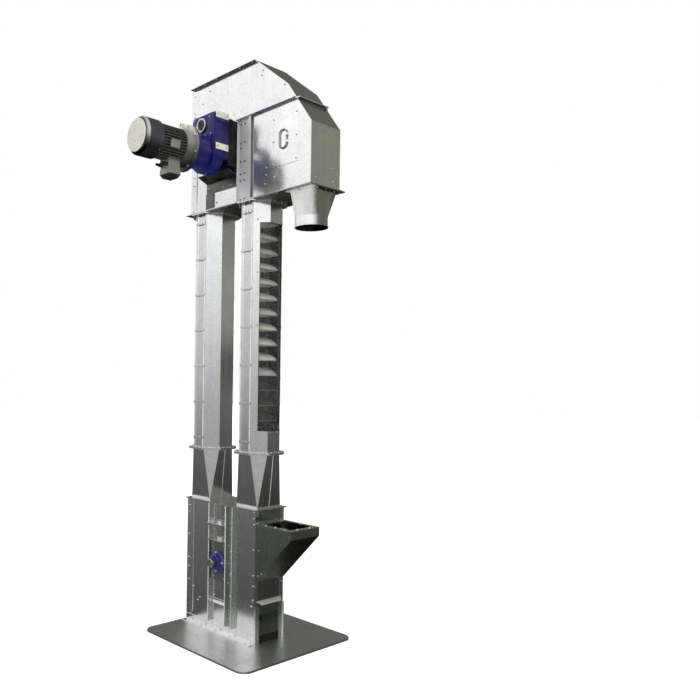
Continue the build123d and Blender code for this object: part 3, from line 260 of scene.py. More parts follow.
class Finish:
    """A material with one Principled shader, whose textures read the object's own coordinates."""

    def __init__(self, name):
        self.material = bpy.data.materials.new(name)
        self.material.use_nodes = True
        self.tree = self.material.node_tree
        self.shader = self.tree.nodes["Principled BSDF"]
        coordinates = add_node(self.tree, "ShaderNodeTexCoord")
        self.place = coordinates.outputs["Object"]

    def set(self, label, value):
        feed(self.tree, self.shader.inputs[label], value)

    def group(self, tree, **values):
        node = add_node(self.tree, "ShaderNodeGroup", node_tree=tree)
        feed(self.tree, node.inputs["Vector"], self.place)
        for label, value in values.items():
            feed(self.tree, node.inputs[label], value)
        return node.outputs


DUST_ON_ZINC = (0.42, 0.42, 0.40)
BARE_SCRATCH = (0.88, 0.88, 0.88)
DUST_ON_PAINT = (0.22, 0.22, 0.21)


def opaque(colour):
    """A colour as a socket takes it."""
    return (*colour, 1.0)


def lay_coat(finish, coat, dust_mask, dust_colour, dust_rough, metallic):
    """Joins a coat to the shader, under a layer of dust."""
    tree = finish.tree
    colour = blend_colours(tree, dust_mask, coat["Colour"], opaque(dust_colour))
    finish.set("Base Color", colour)
    finish.set("Roughness", added(tree, coat["Roughness"], (dust_mask, dust_rough)))
    finish.set("Normal", coat["Normal"])
    finish.set("Metallic", metallic)
    return colour


def zinc_finish(
    name,
    light,
    dark,
    crystals=120.0,
    roughness=0.32,
    waviness=0.4,
    scratches=0.35,
    dust=0.25,
    metallic=1.0,
):
    """Zinc-coated sheet with a light and a dark colour of crystals, dusty and scratched."""
    finish = Finish(name)
    coat = finish.group(
        zinc_group,
        Light=opaque(light),
        Dark=opaque(dark),
        Crystals=crystals,
        Roughness=roughness,
        Waviness=waviness,
    )
    wear = finish.group(wear_group, Scratches=scratches, Dust=dust)
    colour = lay_coat(finish, coat, wear["Dust Mask"], DUST_ON_ZINC, 0.22, metallic)
    scratched = blend_colours(finish.tree, wear["Scratch Mask"], colour, opaque(BARE_SCRATCH))
    finish.set("Base Color", scratched)
    return finish.material


def paint_finish(
    name,
    colour,
    worn,
    roughness=0.3,
    peel=260.0,
    relief=0.15,
    metallic=0.0,
    coat=0.0,
    dust=0.3,
    gloss=0.5,
):
    """Sprayed or moulded surface with its own colour and a worn one, under dust."""
    finish = Finish(name)
    spray = finish.group(
        paint_group,
        Colour=opaque(colour),
        Worn=opaque(worn),
        Roughness=roughness,
        Peel=peel,
        Relief=relief,
    )
    wear = finish.group(wear_group, Dust=dust)
    lay_coat(finish, spray, wear["Dust Mask"], DUST_ON_PAINT, 0.3, metallic)
    finish.set("Specular IOR Level", gloss)
    if coat:
        finish.set("Coat Weight", coat)
        finish.set("Coat Roughness", 0.08)
    return finish.material


def own_place(tree):
    """X, Y and Z of the object's own coordinates."""
    split = add_node(tree, "ShaderNodeSeparateXYZ")
    feed(tree, split.inputs[0], tree.nodes["Texture Coordinate"].outputs["Object"])
    return split.outputs


def overlay(material, colour, mask, metallic=None):
    """Lays a second colour over a finish where a mask of the object's own coordinates is one."""
    tree = material.node_tree
    shader = tree.nodes["Principled BSDF"]
    under = shader.inputs["Base Color"].links[0].from_socket
    factor = mask(tree, *own_place(tree))
    feed(tree, shader.inputs["Base Color"], blend_colours(tree, factor, under, opaque(colour)))
    if metallic is not None:
        feed(tree, shader.inputs["Metallic"], spread(tree, factor, 0.0, 1.0, *metallic))


def bowed(material, start, curve):
    """Bows a sheet outward beyond a place along X, as thin wall panels do, which turns what it
    mirrors."""
    tree = material.node_tree
    shader = tree.nodes["Principled BSDF"]
    under = shader.inputs["Normal"].links[0].from_socket
    x = own_place(tree)[0]
    beyond = math_node(tree, "MAXIMUM", less(tree, x, start), 0.0)
    height = times(tree, times(tree, beyond, beyond), -curve)
    feed(tree, shader.inputs["Normal"], bumped(tree, height, 1.0, 1.0, under))


# Finishes of the zinc-coated sheet and the bare steel
PANEL_LIGHT = (0.88, 0.88, 0.88)
PANEL_DARK = (0.70, 0.70, 0.70)
BOW_START = 330 * MM
BOW_CURVE = 0.24
PANEL_LOOK = {"roughness": 0.17, "waviness": 0.3, "scratches": 0.3, "dust": 0.12}

panel_zinc = zinc_finish("zinc_panel", PANEL_LIGHT, PANEL_DARK, **PANEL_LOOK)
head_zinc = zinc_finish("zinc_head", PANEL_LIGHT, PANEL_DARK, metallic=0.94, **PANEL_LOOK)
bowed(head_zinc, BOW_START, BOW_CURVE)
leg_zinc = zinc_finish(
    "zinc_leg",
    (0.84, 0.85, 0.85),
    (0.66, 0.67, 0.67),
    crystals=160.0,
    roughness=0.15,
    waviness=0.2,
    dust=0.12,
)
# A darker, greener copy of the zinc: painted shade on the boot's inlet end and hopper.
inlet_shade_zinc = zinc_finish(
    "zinc_inlet_shade",
    (0.40, 0.44, 0.40),
    (0.27, 0.30, 0.27),
    crystals=150.0,
    roughness=0.24,
    waviness=0.3,
    dust=0.12,
)
# A darker copy of the zinc: painted shade on the head floor, which is seen from below.
flange_shade_zinc = zinc_finish(
    "zinc_flange_shade", (0.62, 0.62, 0.60), (0.36, 0.36, 0.35), 240.0, roughness=0.45, waviness=0.1
)
spout_zinc = zinc_finish(
    "zinc_spout", (0.86, 0.86, 0.85), (0.66, 0.66, 0.65), 200.0, roughness=0.24, metallic=0.62
)
strap_zinc = zinc_finish(
    "zinc_strap", (0.68, 0.68, 0.67), (0.54, 0.54, 0.53), 200.0, roughness=0.42, metallic=0.6
)
# A lighter, rougher zinc: painted highlight on the strips along folded edges, post edges and seams.
highlight_zinc = zinc_finish(
    "zinc_edge_highlight", (0.90, 0.90, 0.88), (0.78, 0.78, 0.76), 300.0, roughness=0.5, metallic=0.4
)
# A much darker copy of the zinc: painted shade on the cleanout gate under its hood.
gate_shade_zinc = zinc_finish(
    "zinc_gate_shade", (0.17, 0.20, 0.18), (0.10, 0.12, 0.11), 150.0, roughness=0.30, waviness=0.2
)
lap_zinc = zinc_finish(
    "zinc_lap", (0.86, 0.90, 0.86), (0.62, 0.66, 0.62), 150.0, roughness=0.26, waviness=0.2
)
# A darker copy of the zinc: painted shade on the boot's posts and the carriage plates.
post_shade_zinc = zinc_finish(
    "zinc_post_shade", (0.56, 0.59, 0.56), (0.36, 0.38, 0.36), 150.0, roughness=0.24, waviness=0.2
)
bolt_zinc = zinc_finish(
    "bolt_zinc", (0.88, 0.88, 0.87), (0.66, 0.66, 0.65), 700.0, roughness=0.30, waviness=0.0
)
bracket_steel = zinc_finish(
    "bracket_steel", (0.16, 0.16, 0.15), (0.07, 0.07, 0.065), 200.0, roughness=0.34, waviness=0.2
)
handle_steel = zinc_finish(
    "handle_steel", (0.42, 0.42, 0.41), (0.26, 0.26, 0.25), 900.0, roughness=0.24, waviness=0.0
)
turned_steel = zinc_finish(
    "turned_steel", (0.70, 0.69, 0.67), (0.48, 0.47, 0.45), 900.0, roughness=0.24, waviness=0.0
)
plate_alloy = zinc_finish(
    "plate_alloy", (0.86, 0.86, 0.85), (0.70, 0.70, 0.69), 900.0, roughness=0.42, waviness=0.0
)
base_coat = zinc_finish(
    "base_plate_coat", (0.80, 0.80, 0.80), (0.62, 0.62, 0.62), 60.0, roughness=0.36, waviness=0.1
)

# Finishes of the painted castings, the rubber and the plastics
gear_paint = paint_finish(
    "gear_paint",
    (0.002, 0.003, 0.085),
    (0.004, 0.005, 0.125),
    roughness=0.20,
    relief=0.10,
    dust=0.06,
    gloss=0.4,
)
bearing_paint = paint_finish(
    "bearing_paint", (0.003, 0.008, 0.13), (0.006, 0.014, 0.18), roughness=0.26, relief=0.2, coat=0.3
)
motor_paint = paint_finish(
    "motor_paint", (0.030, 0.031, 0.028), (0.070, 0.070, 0.062), relief=0.2, metallic=0.4
)
shield_paint = paint_finish(
    "shield_paint", (0.44, 0.43, 0.40), (0.54, 0.53, 0.50), relief=0.2, metallic=0.7
)
box_paint = paint_finish(
    "box_paint", (0.20, 0.20, 0.17), (0.28, 0.28, 0.25), roughness=0.32, metallic=0.3
)
cowl_paint = paint_finish(
    "cowl_paint", (0.075, 0.080, 0.095), (0.11, 0.115, 0.13), roughness=0.24, relief=0.1, metallic=0.6
)
stool_paint = paint_finish(
    "stool_paint",
    (0.003, 0.003, 0.005),
    (0.008, 0.008, 0.012),
    roughness=0.42,
    relief=0.1,
    dust=0.1,
    gloss=0.2,
)
black_plastic = paint_finish(
    "black_plastic",
    (0.012, 0.012, 0.012),
    (0.03, 0.03, 0.03),
    roughness=0.38,
    peel=700.0,
    relief=0.1,
    dust=0.1,
    gloss=0.25,
)
belt_rubber = paint_finish(
    "belt_rubber", (0.018, 0.018, 0.018), (0.05, 0.05, 0.048), roughness=0.6, peel=500.0, relief=0.3
)
bucket_shell = paint_finish(
    "bucket_shell", (0.60, 0.59, 0.53), (0.70, 0.69, 0.63), roughness=0.42, peel=500.0, relief=0.1
)
pad_ivory = paint_finish(
    "pad_ivory", (0.70, 0.68, 0.58), (0.80, 0.79, 0.72), roughness=0.4, peel=600.0, relief=0.1
)


# Masks: where a finish takes a second colour, each a number from zero to one
def mid_height(node):
    """Height of a node's middle."""
    low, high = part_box(node)
    return (low.z + high.z) / 2


def mid_length(node):
    """Place of a node's middle along X."""
    low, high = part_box(node)
    return (low.x + high.x) / 2


MOTOR_AXIS = mid_height("motor_shaft")
COWL_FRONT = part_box("fan_cowl")[0].y
FIN_TIP = 100 * MM
LID_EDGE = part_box("terminal_box")[0].z + 21 * MM
LEG_CENTRE = (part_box("falling_leg_inner")[0].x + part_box("falling_leg_outer")[1].x) / 2
LEG_HALF = 125 * MM
LEG_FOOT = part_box("falling_leg_inner")[0].z
GROOVE_WALL = LEG_HALF - 6 * MM
GROOVE_HALF = 31 * MM
COLLAR_TUBE = 94 * MM
BUCKET_SHADE_TOP = 1660 * MM
BUCKET_SHADE_FULL = 1560 * MM
FOOT_SHADOW_TOP = 110 * MM
FOOT_SHADOW_FULL = 80 * MM


def length_of(tree, first, second):
    """Length of the slanted side over two square ones."""
    square = times(tree, first, first)
    return math_node(tree, "SQRT", math_node(tree, "MULTIPLY_ADD", second, second, square))


def fin_ridge_highlight(tree, x, y, z):
    """One on the tips of the motor's cooling fins, lightened as painted highlight."""
    from_axis = length_of(tree, x, less(tree, z, MOTOR_AXIS))
    return spread(tree, from_axis, FIN_TIP - 3 * MM, FIN_TIP)


def cowl_rim_highlight(tree, x, y, z):
    """One on the cowl's rounded front edge, lightened and made more metallic as painted highlight."""
    return spread(tree, y, COWL_FRONT + 27 * MM, COWL_FRONT + 22 * MM)


def cowl_face(tree, x, y, z):
    """One on the cowl's flat front."""
    return spread(tree, y, COWL_FRONT + 3 * MM, COWL_FRONT + 1 * MM)


def cowl_under_shade(tree, x, y, z):
    """One on the lower part of the cowl's round side, darkened as painted shade."""
    side = spread(tree, y, COWL_FRONT + 8 * MM, COWL_FRONT + 12 * MM)
    return times(tree, side, spread(tree, z, MOTOR_AXIS - 20 * MM, MOTOR_AXIS - 75 * MM))


def box_lid(tree, x, y, z):
    """One on the terminal box's lid, below its edge."""
    return spread(tree, z, LID_EDGE, LID_EDGE - 3 * MM)


def shield_under_shade(tree, x, y, z):
    """One on the lower part of the motor's end shield, darkened as painted shade."""
    return spread(tree, z, MOTOR_AXIS + 60 * MM, MOTOR_AXIS - 110 * MM)


def shield_top_highlight(tree, x, y, z):
    """One on the upper part of the motor's end shield, lightened as painted highlight."""
    return spread(tree, z, MOTOR_AXIS + 70 * MM, MOTOR_AXIS + 140 * MM)


def leg_inside_shade(tree, x, y, z):
    """One on the inner faces of the eight-sided legs, above their foot rings and beside the
    grooves of their seams, darkened as painted shade."""
    across = absolute(tree, less(tree, absolute(tree, x), LEG_CENTRE))
    deep = absolute(tree, y)
    slanted = times(tree, math_node(tree, "ADD", across, deep), math.sqrt(0.5))
    reach = math_node(tree, "MAXIMUM", math_node(tree, "MAXIMUM", across, deep), slanted)
    inner = spread(tree, reach, LEG_HALF - 1.0 * MM, LEG_HALF - 1.8 * MM)
    narrow = spread(tree, across, 39.0 * MM, 38.5 * MM)
    slope = math_node(tree, "MAXIMUM", less(tree, across, GROOVE_HALF), 0.0)
    bottom = spread(tree, less(tree, deep, slope), GROOVE_WALL - 2.0 * MM, GROOVE_WALL - 1.0 * MM)
    inner = times(tree, inner, less(tree, 1.0, times(tree, narrow, bottom)))
    return times(tree, inner, spread(tree, z, LEG_FOOT + 8 * MM, LEG_FOOT + 10 * MM))


def hopper_painted_reflection(tree, x, y, z):
    """One inside the hopper's outer half, near its mouth, coloured violet as painted reflection."""
    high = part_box("inlet_hopper")[1]
    inner = spread(tree, absolute(tree, y), high.y - 1.0 * MM, high.y - 1.8 * MM)
    outer_half = spread(tree, x, high.x - 190 * MM, high.x - 130 * MM)
    inside = times(tree, outer_half, spread(tree, x, high.x - 1.0 * MM, high.x - 2.0 * MM))
    inner = times(tree, inner, inside)
    return times(tree, inner, spread(tree, z, high.z - 50 * MM, high.z - 38 * MM))


def inlet_foot_shadow(tree, x, y, z):
    """One low on the inlet side, under the gate, darkened as painted shadow."""
    return spread(tree, z, FOOT_SHADOW_TOP, FOOT_SHADOW_FULL)


def low_bucket_shade(tree, x, y, z):
    """One on the buckets below eye level, darkened as painted shade."""
    return spread(tree, z, BUCKET_SHADE_TOP, BUCKET_SHADE_FULL)


def collar_inside_shade(tree, x, y, z):
    """One on the inner face of the spout's round collar, darkened as painted shade."""
    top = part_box("spout_collar")[1].z
    reach = length_of(tree, less(tree, x, mid_length("spout_collar")), y)
    inner = spread(tree, reach, COLLAR_TUBE - 1.0 * MM, COLLAR_TUBE - 1.8 * MM)
    return times(tree, inner, spread(tree, z, top + 2 * MM, top - 2 * MM))


def spout_outlet_shade(tree, x, y, z):
    """One on the spout's half that faces the outlet side, darkened as painted shade."""
    turn = math_node(tree, "ADD", less(tree, x, mid_length("spout")), y)
    return spread(tree, turn, -15 * MM, 30 * MM)


# Painted highlight on the tips of the cooling fins.
overlay(motor_paint, (0.13, 0.13, 0.12), fin_ridge_highlight)
# Painted highlight on the cowl's rounded rim.
overlay(cowl_paint, (0.42, 0.42, 0.40), cowl_rim_highlight, (0.6, 1.0))
overlay(cowl_paint, (0.66, 0.64, 0.59), cowl_face)
# Painted shade on the lower part of the cowl.
overlay(cowl_paint, (0.020, 0.021, 0.022), cowl_under_shade)
overlay(box_paint, (0.020, 0.020, 0.018), box_lid)
# Painted highlight on the upper part of the end shield.
overlay(shield_paint, (0.86, 0.84, 0.80), shield_top_highlight)
# Painted shade on the lower part of the end shield.
overlay(shield_paint, (0.05, 0.05, 0.045), shield_under_shade)
# Painted shade on the inner faces of the legs.
overlay(leg_zinc, (0.045, 0.048, 0.042), leg_inside_shade)
# Painted shadow low on the inlet side, under the gate.
overlay(inlet_shade_zinc, (0.060, 0.065, 0.055), inlet_foot_shadow)
# Painted violet reflection inside the hopper.
overlay(inlet_shade_zinc, (0.16, 0.12, 0.34), hopper_painted_reflection)
# Painted shade on the buckets below eye level.
overlay(bucket_shell, (0.020, 0.020, 0.018), low_bucket_shade)
# Painted shade on the spout's half that faces the outlet side.
overlay(spout_zinc, (0.40, 0.40, 0.37), spout_outlet_shade, (0.45, 1.0))
# Painted shade on the inner face of the spout's collar.
overlay(spout_zinc, (0.014, 0.014, 0.013), collar_inside_shade)


def make_window_finish():
    """Thin clear panel with a faint haze."""
    finish = Finish("clear_panel")
    tree = finish.tree
    haze = noise(tree, finish.place, 7.0, 4.0)
    colour = blend_colours(tree, haze, opaque((0.10, 0.11, 0.10)), opaque((0.20, 0.21, 0.20)))
    finish.set("Base Color", colour)
    finish.set("Roughness", spread(tree, haze, 0.3, 0.7, 0.02, 0.07))
    finish.set("IOR", 1.49)
    finish.set("Alpha", spread(tree, haze, 0.3, 0.7, 0.06, 0.14))
    return finish.material


def dress_nodes():
    """Gives each CAD node its finish, and the plain panel's where nothing else is named."""
    nodes_in = (
        (base_coat, "base_plate"),
        (make_window_finish(), "leg_window"),
        (flange_shade_zinc, "head_floor"),
        (strap_zinc, "head_straps"),
        (gate_shade_zinc, "cleanout_gate"),
        (gear_paint, "motor_adapter"),
        (stool_paint, "gear_stool"),
        (shield_paint, "motor_shield"),
        (motor_paint, "motor_body"),
        (cowl_paint, "fan_cowl"),
        (box_paint, "terminal_box"),
        (bracket_steel, "shelf_brackets"),
        (head_zinc, "head_sides", "hatch_covers"),
        (handle_steel, "handle_near", "handle_far"),
        (spout_zinc, "spout", "spout_collar"),
        (inlet_shade_zinc, "inlet_hopper", "boot_inlet_end"),
        (lap_zinc, "boot_tail_end", "gate_guides"),
        (post_shade_zinc, "boot_posts", "carriage_plates"),
        (belt_rubber, "belt", "drum_lagging"),
        (black_plastic, "cable_glands", "cooling_fan", "gate_knob"),
        (turned_steel, "head_shaft", "boot_shaft", "motor_shaft"),
        (turned_steel, "output_sleeve", "takeup_nuts", "takeup_rods"),
        (leg_zinc, "rising_leg_inner", "rising_leg_outer", "leg_transitions"),
        (leg_zinc, "falling_leg_inner", "falling_leg_outer"),
    )
    finish_of = {name: finish for finish, *names in nodes_in for name in names}
    for name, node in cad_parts.items():
        node.data.materials.clear()
        node.data.materials.append(finish_of.get(name, panel_zinc))


dress_nodes()


# Steps of modelling that many pieces share
FACES = (False, False, True)
EDGES = (False, True, False)
NEAR = Vector((0, -1, 0))
FAR = Vector((0, 1, 0))
UP = Vector((0, 0, 1))
DOWN = Vector((0, 0, -1))
RIGHT = Vector((1, 0, 0))
LEFT = Vector((-1, 0, 0))
SMOOTH_ANGLE = math.radians(35.0)
FACES_IT = 0.9


def begin():
    """Leaves edit mode and lets go of everything."""
    if bpy.context.mode != "OBJECT":
        bpy.ops.object.mode_set(mode="OBJECT")
    bpy.ops.object.select_all(action="DESELECT")


def take(*pieces):
    """Selects just these pieces, the first one active."""
    begin()
    for piece in pieces:
        piece.select_set(True)
    bpy.context.view_layer.objects.active = pieces[0]


def linked(name, data):
    """A new object in the scene."""
    thing = bpy.data.objects.new(name, data)
    bpy.context.scene.collection.objects.link(thing)
    return thing


def block(low, high):
    """A box between two corners, ready for shaping."""
    begin()
    low, high = Vector(low), Vector(high)
    bpy.ops.mesh.primitive_cube_add(size=1.0, location=(low + high) / 2, scale=high - low)
    bpy.ops.object.transform_apply(location=True, rotation=True, scale=True)
    return bpy.context.object


def turned(start, end, radius, sides=32):
    """A round bar between two points, ready for shaping."""
    begin()
    start, end = Vector(start), Vector(end)
    along = end - start
    bpy.ops.mesh.primitive_cylinder_add(
        vertices=sides,
        radius=radius,
        depth=along.length,
        location=(start + end) / 2,
        rotation=along.to_track_quat("Z", "Y").to_euler(),
    )
    bpy.ops.object.transform_apply(location=True, rotation=True, scale=True)
    return bpy.context.object


def clear_choice(piece, mode):
    """Takes a piece with nothing on it chosen yet, for faces or for edges."""
    take(piece)
    bpy.context.tool_settings.mesh_select_mode = mode
    for part in (piece.data.vertices, piece.data.edges, piece.data.polygons):
        part.foreach_set("select", [False] * len(part))


def choose_faces(piece, wanted):
    """Goes into edit mode with the faces selected whose middle and normal are wanted."""
    clear_choice(piece, FACES)
    for face in piece.data.polygons:
        face.select = bool(wanted(face.center, face.normal))
    bpy.ops.object.mode_set(mode="EDIT")


def choose_end(piece, way):
    """Goes into edit mode with the faces selected that look one way."""
    choose_faces(piece, lambda middle, normal: normal.dot(way) > FACES_IT)


def choose_edges(piece, wanted):
    """Goes into edit mode with the edges selected whose two ends are wanted."""
    clear_choice(piece, EDGES)
    points = piece.data.vertices
    for edge in piece.data.edges:
        edge.select = bool(wanted(points[edge.vertices[0]].co, points[edge.vertices[1]].co))
    bpy.ops.object.mode_set(mode="EDIT")


def done():
    """Leaves edit mode."""
    bpy.ops.object.mode_set(mode="OBJECT")


def inset_end(piece, way, *steps):
    """Insets the faces that look one way, once for each step's thickness and depth."""
    choose_end(piece, way)
    for thickness, depth in steps:
        bpy.ops.mesh.inset(thickness=thickness, depth=depth)
    done()


def rounded(piece, width, segments=2, sharper_than=30.0):
    """Rounds the edges that turn by more than an angle."""
    take(piece)
    modifier = piece.modifiers.new("rounding", "BEVEL")
    modifier.width = width
    modifier.segments = segments
    modifier.limit_method = "ANGLE"
    modifier.angle_limit = math.radians(sharper_than)
    bpy.ops.object.modifier_apply(modifier=modifier.name)
    return piece


def joined(pieces):
    """Makes one piece of several."""
    take(*pieces)
    if len(pieces) > 1:
        bpy.ops.object.join()
    return bpy.context.object


def finished(piece, name, body, finish):
    """Names a piece, gives it its finish and lets it ride on its body."""
    take(piece)
    piece.name = name
    piece.data.name = name
    piece.data.materials.clear()
    piece.data.materials.append(finish)
    bpy.ops.object.shade_smooth_by_angle(angle=SMOOTH_ANGLE)
    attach(piece, body)
    return piece


def copied(pattern, place, outward, size, turn):
    """Copies a pattern, with its own mesh, to a place, its +Z turned outward."""
    copy = linked(pattern.name, pattern.data.copy())
    facing = Vector(outward).to_track_quat("Z", "Y").to_matrix().to_4x4()
    spin = Matrix.Rotation(turn, 4, "Z")
    copy.data.transform(Matrix.Translation(Vector(place)) @ facing @ spin @ Matrix.Scale(size, 4))
    return copy


TURN_STEP = 0.9


def stamped(name, pattern, places, body, finish):
    """One piece of many copies: each place is a point, the way outward and a size."""
    copies = []
    for count, (point, outward, size) in enumerate(places):
        copies.append(copied(pattern, point, outward, size, TURN_STEP * count))
    finished(joined(copies), name, body, finish)


def discard(*patterns):
    """Takes patterns away once they are copied."""
    for pattern in patterns:
        bpy.data.objects.remove(pattern)


def softened(node, width, segments, sharper_than):
    """A copy of a CAD piece, its loose triangles merged and its edges rounded."""
    piece = linked(node + "_soft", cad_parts[node].data.copy())
    take(piece)
    bpy.ops.object.mode_set(mode="EDIT")
    bpy.ops.mesh.select_all(action="SELECT")
    bpy.ops.mesh.remove_doubles(threshold=0.01 * MM)
    bpy.ops.mesh.dissolve_limited(angle_limit=math.radians(1.0))
    done()
    return rounded(piece, width, segments, sharper_than)


def spaced(first, last, count):
    """Evenly spaced places from the first to the last."""
    return [first + (last - first) * step / (count - 1) for step in range(count)]


# Fasteners, each modelled once at the origin with its head towards +Z
WASHER_RADIUS = 9.0 * MM
WASHER_THICKNESS = 1.6 * MM
HEAD_RADIUS = 7.4 * MM
HEAD_HEIGHT = 5.6 * MM
BUTTON_RADIUS = 5.5 * MM
BUTTON_HEIGHT = 1.6 * MM


def model_bolt():
    """Hexagon head with a chamfered top on a round washer."""
    washer = turned((0, 0, 0), (0, 0, WASHER_THICKNESS), WASHER_RADIUS, 14)
    inset_end(washer, UP, (0.5 * MM, 0.2 * MM))
    head = turned((0, 0, WASHER_THICKNESS), (0, 0, WASHER_THICKNESS + HEAD_HEIGHT), HEAD_RADIUS, 6)
    inset_end(head, UP, (1.1 * MM, 0.7 * MM))
    pattern = joined([washer, head])
    pattern.name = "bolt_pattern"
    return pattern


def model_button():
    """Low round screw head with a hexagon socket."""
    head = turned((0, 0, 0), (0, 0, BUTTON_HEIGHT), BUTTON_RADIUS, 16)
    inset_end(head, UP, (1.2 * MM, 1.2 * MM), (1.4 * MM, 0.4 * MM), (0.6 * MM, -1.4 * MM))
    head.name = "button_pattern"
    return head


bolt = model_bolt()
button = model_button()

# Sizes of bolts, as shares of the pattern
CLIP_SIZE = 0.5
END_SIZE = 0.55
COVER_SIZE = 0.6
WALL_SIZE = 0.62
BRACKET_SIZE = 0.7
RIM_SIZE = 0.72
FLANGE_SIZE = 0.75
FOOT_SIZE = 0.8
BUCKET_SIZE = 0.9
BEARING_SIZE = 1.1


def bolted(name, places, body="casing", finish=bolt_zinc):
    """A group of hexagon bolts as one piece."""
    stamped(name, bolt, places, body, finish)


def screwed(name, places, finish=bolt_zinc):
    """A group of button screws as one piece on the casing."""
    stamped(name, button, places, "casing", finish)


def both_sides(points, size):
    """The same bolts on the near and the far side."""
    places = []
    for x, y, z in points:
        places.append((Vector((x, -y, z)), NEAR, size))
        places.append((Vector((x, y, z)), FAR, size))
    return places


def up_column(x, depth, heights, size):
    """A column of bolts on both sides, at heights in mm."""
    return both_sides([(x, depth, z * MM) for z in heights], size)


def on_walls(spots, depth, size):
    """Bolts on both sides, at places along and up the wall in mm."""
    return both_sides([(x * MM, depth, z * MM) for x, z in spots], size)


def on_end(x, way, sides, heights, size):
    """Rows of bolts on an end wall."""
    return [(Vector((x, y, z)), way, size) for z in heights for y in sides]


def through(points, top, under, size):
    """Upright bolts: heads on top of a flange and smaller nuts below it."""
    places = []
    for x, y in points:
        places.append((Vector((x, y, top)), UP, size))
        places.append((Vector((x, y, under)), DOWN, 0.9 * size))
    return places


# Faces that the head's bolts sit on
SHEET = 3.0 * MM
HEAD_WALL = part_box("round_cover")[0].y
LAP_FACE = HEAD_WALL + SHEET
HEAD_LOW, HEAD_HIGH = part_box("head_sides")
FLANGE_LINE = (HEAD_WALL + HEAD_HIGH.y) / 2
ROOF_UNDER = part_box("hood_roof")[1].z - 2 * SHEET
STRAP_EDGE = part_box("head_straps")[0].x
SKIN_FLANGE = 25.0 * MM

# Heights of bolts, and their places along and up the wall, in mm, read off the photograph
LAP_HEIGHTS = (2708, 2880, 2934, 3120, 3240, 3334, 3360, 3474)
STRAP_HEIGHTS = (2705, 2820, 2862, 2937, 3054, 3166)
DEFLECTOR_BOLTS = ((337, 3447), (329, 3420), (520, 3306), (-222, 3406), (-152, 3470))
WEAR_PLATE_BOLTS = ((374, 2854), (375, 2812), (441, 2786), (367, 2761), (515, 2719))
SKIN_BOLTS = ((-79, 2813), (67, 2810), (-79, 2735), (67, 2735))
SHELF_BOLTS = ((-140, 2830), (-1, 2817), (68, 2816))
GEAR_COVER_BOLTS = ((-21, 3203), (72, 3196), (-70, 3203), (84, 3090), (-66, 3104))
BOOT_BOLTS = (
    (-257, 241), (-189, 182), (-211, 161), (296, 238), (-30, 795), (45, 795), (-50, 232), (-50, 716),
)
CHEEK_BOLTS = ((355, 582), (350, 431), (378, 448))
BOOT_LAP_HEIGHTS = (278, 364, 424, 578, 724, 768)
BOOT_FOLD_HEIGHTS = (276, 360, 425, 577, 728, 764, 802)
SLIDE_HEIGHTS = (228, 343, 457, 577)
POST_HEIGHTS = (119, 256, 391, 530, 670)
INNER_POST_HEIGHTS = (335, 454, 566)

# Single places read off the photograph
BOOT_FOLD = 308 * MM
SLIDE_COLUMN = -93 * MM
SEAM_END = -290 * MM
LOWER_PAD = 3010 * MM


def bolt_head_laps():
    """Bolts through the folded laps of the head's end channels."""
    bolted("head_lap_bolts", up_column(HEAD_LOW.x + 28 * MM, LAP_FACE, LAP_HEIGHTS, WALL_SIZE))


def bolt_head_flanges():
    """Bolts of the head's floor, its middle seam and its roof."""
    floor_row = spaced(HEAD_LOW.x + 30 * MM, HEAD_HIGH.x - 25 * MM, 10)
    seam_row = [SEAM_END] + spaced(150 * MM, 590 * MM, 5)
    roof_row = spaced(HEAD_LOW.x + 30 * MM, 255 * MM, 6)
    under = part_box("head_floor")[0].z
    seam = HEAD_HIGH.z
    places = []
    for side in (-FLANGE_LINE, FLANGE_LINE):
        places += through([(x, side) for x in floor_row], HEAD_LOW.z + SHEET, under, FLANGE_SIZE)
        places += through([(x, side) for x in seam_row], seam + SHEET, seam - SHEET, FLANGE_SIZE)
        places += [(Vector((x, side, ROOF_UNDER)), DOWN, FLANGE_SIZE) for x in roof_row]
    bolted("head_flange_bolts", places)


def bolt_head_walls():
    """Bolts that hold the deflector and the wear plates inside the head's walls, and the skin."""
    places = on_walls(DEFLECTOR_BOLTS + WEAR_PLATE_BOLTS, HEAD_WALL, WALL_SIZE)
    skin_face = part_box("discharge_skin")[1].x - SKIN_FLANGE + SHEET
    for y, z in SKIN_BOLTS:
        places.append((Vector((skin_face, y * MM, z * MM)), RIGHT, WALL_SIZE))
    bolted("head_wall_bolts", places)


def bolt_straps():
    """Two columns of dark bolts in each strap's web, and one more in the first column."""
    places = []
    for offset in (29 * MM, 64 * MM):
        places += up_column(STRAP_EDGE + offset, LAP_FACE, STRAP_HEIGHTS, WALL_SIZE)
    places += up_column(STRAP_EDGE + 29 * MM, LAP_FACE, (3022,), WALL_SIZE)
    bolted("strap_bolts", places, finish=bracket_steel)


def bolt_hatches():
    """Bolts of the hatch covers, three up each edge."""
    low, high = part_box("hatch_covers")
    columns = (low.x + 16 * MM, high.x - 16 * MM)
    levels = (low.z + 18 * MM, (low.z + high.z) / 2, high.z - 18 * MM)
    bolted("hatch_bolts", both_sides([(x, LAP_FACE, z) for x in columns for z in levels], COVER_SIZE))


def bolt_clips():
    """Bolts of the seven rows of clips over the legs' seams."""
    low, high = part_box("seam_clips")
    levels = spaced(low.z + 8 * MM, high.z - 8 * MM, 7)
    places = []
    for leg in (-LEG_CENTRE, LEG_CENTRE):
        for offset in (-44 * MM, -14 * MM, 14 * MM, 44 * MM):
            places += both_sides([(leg + offset, high.y, z) for z in levels], CLIP_SIZE)
    bolted("clip_bolts", places)


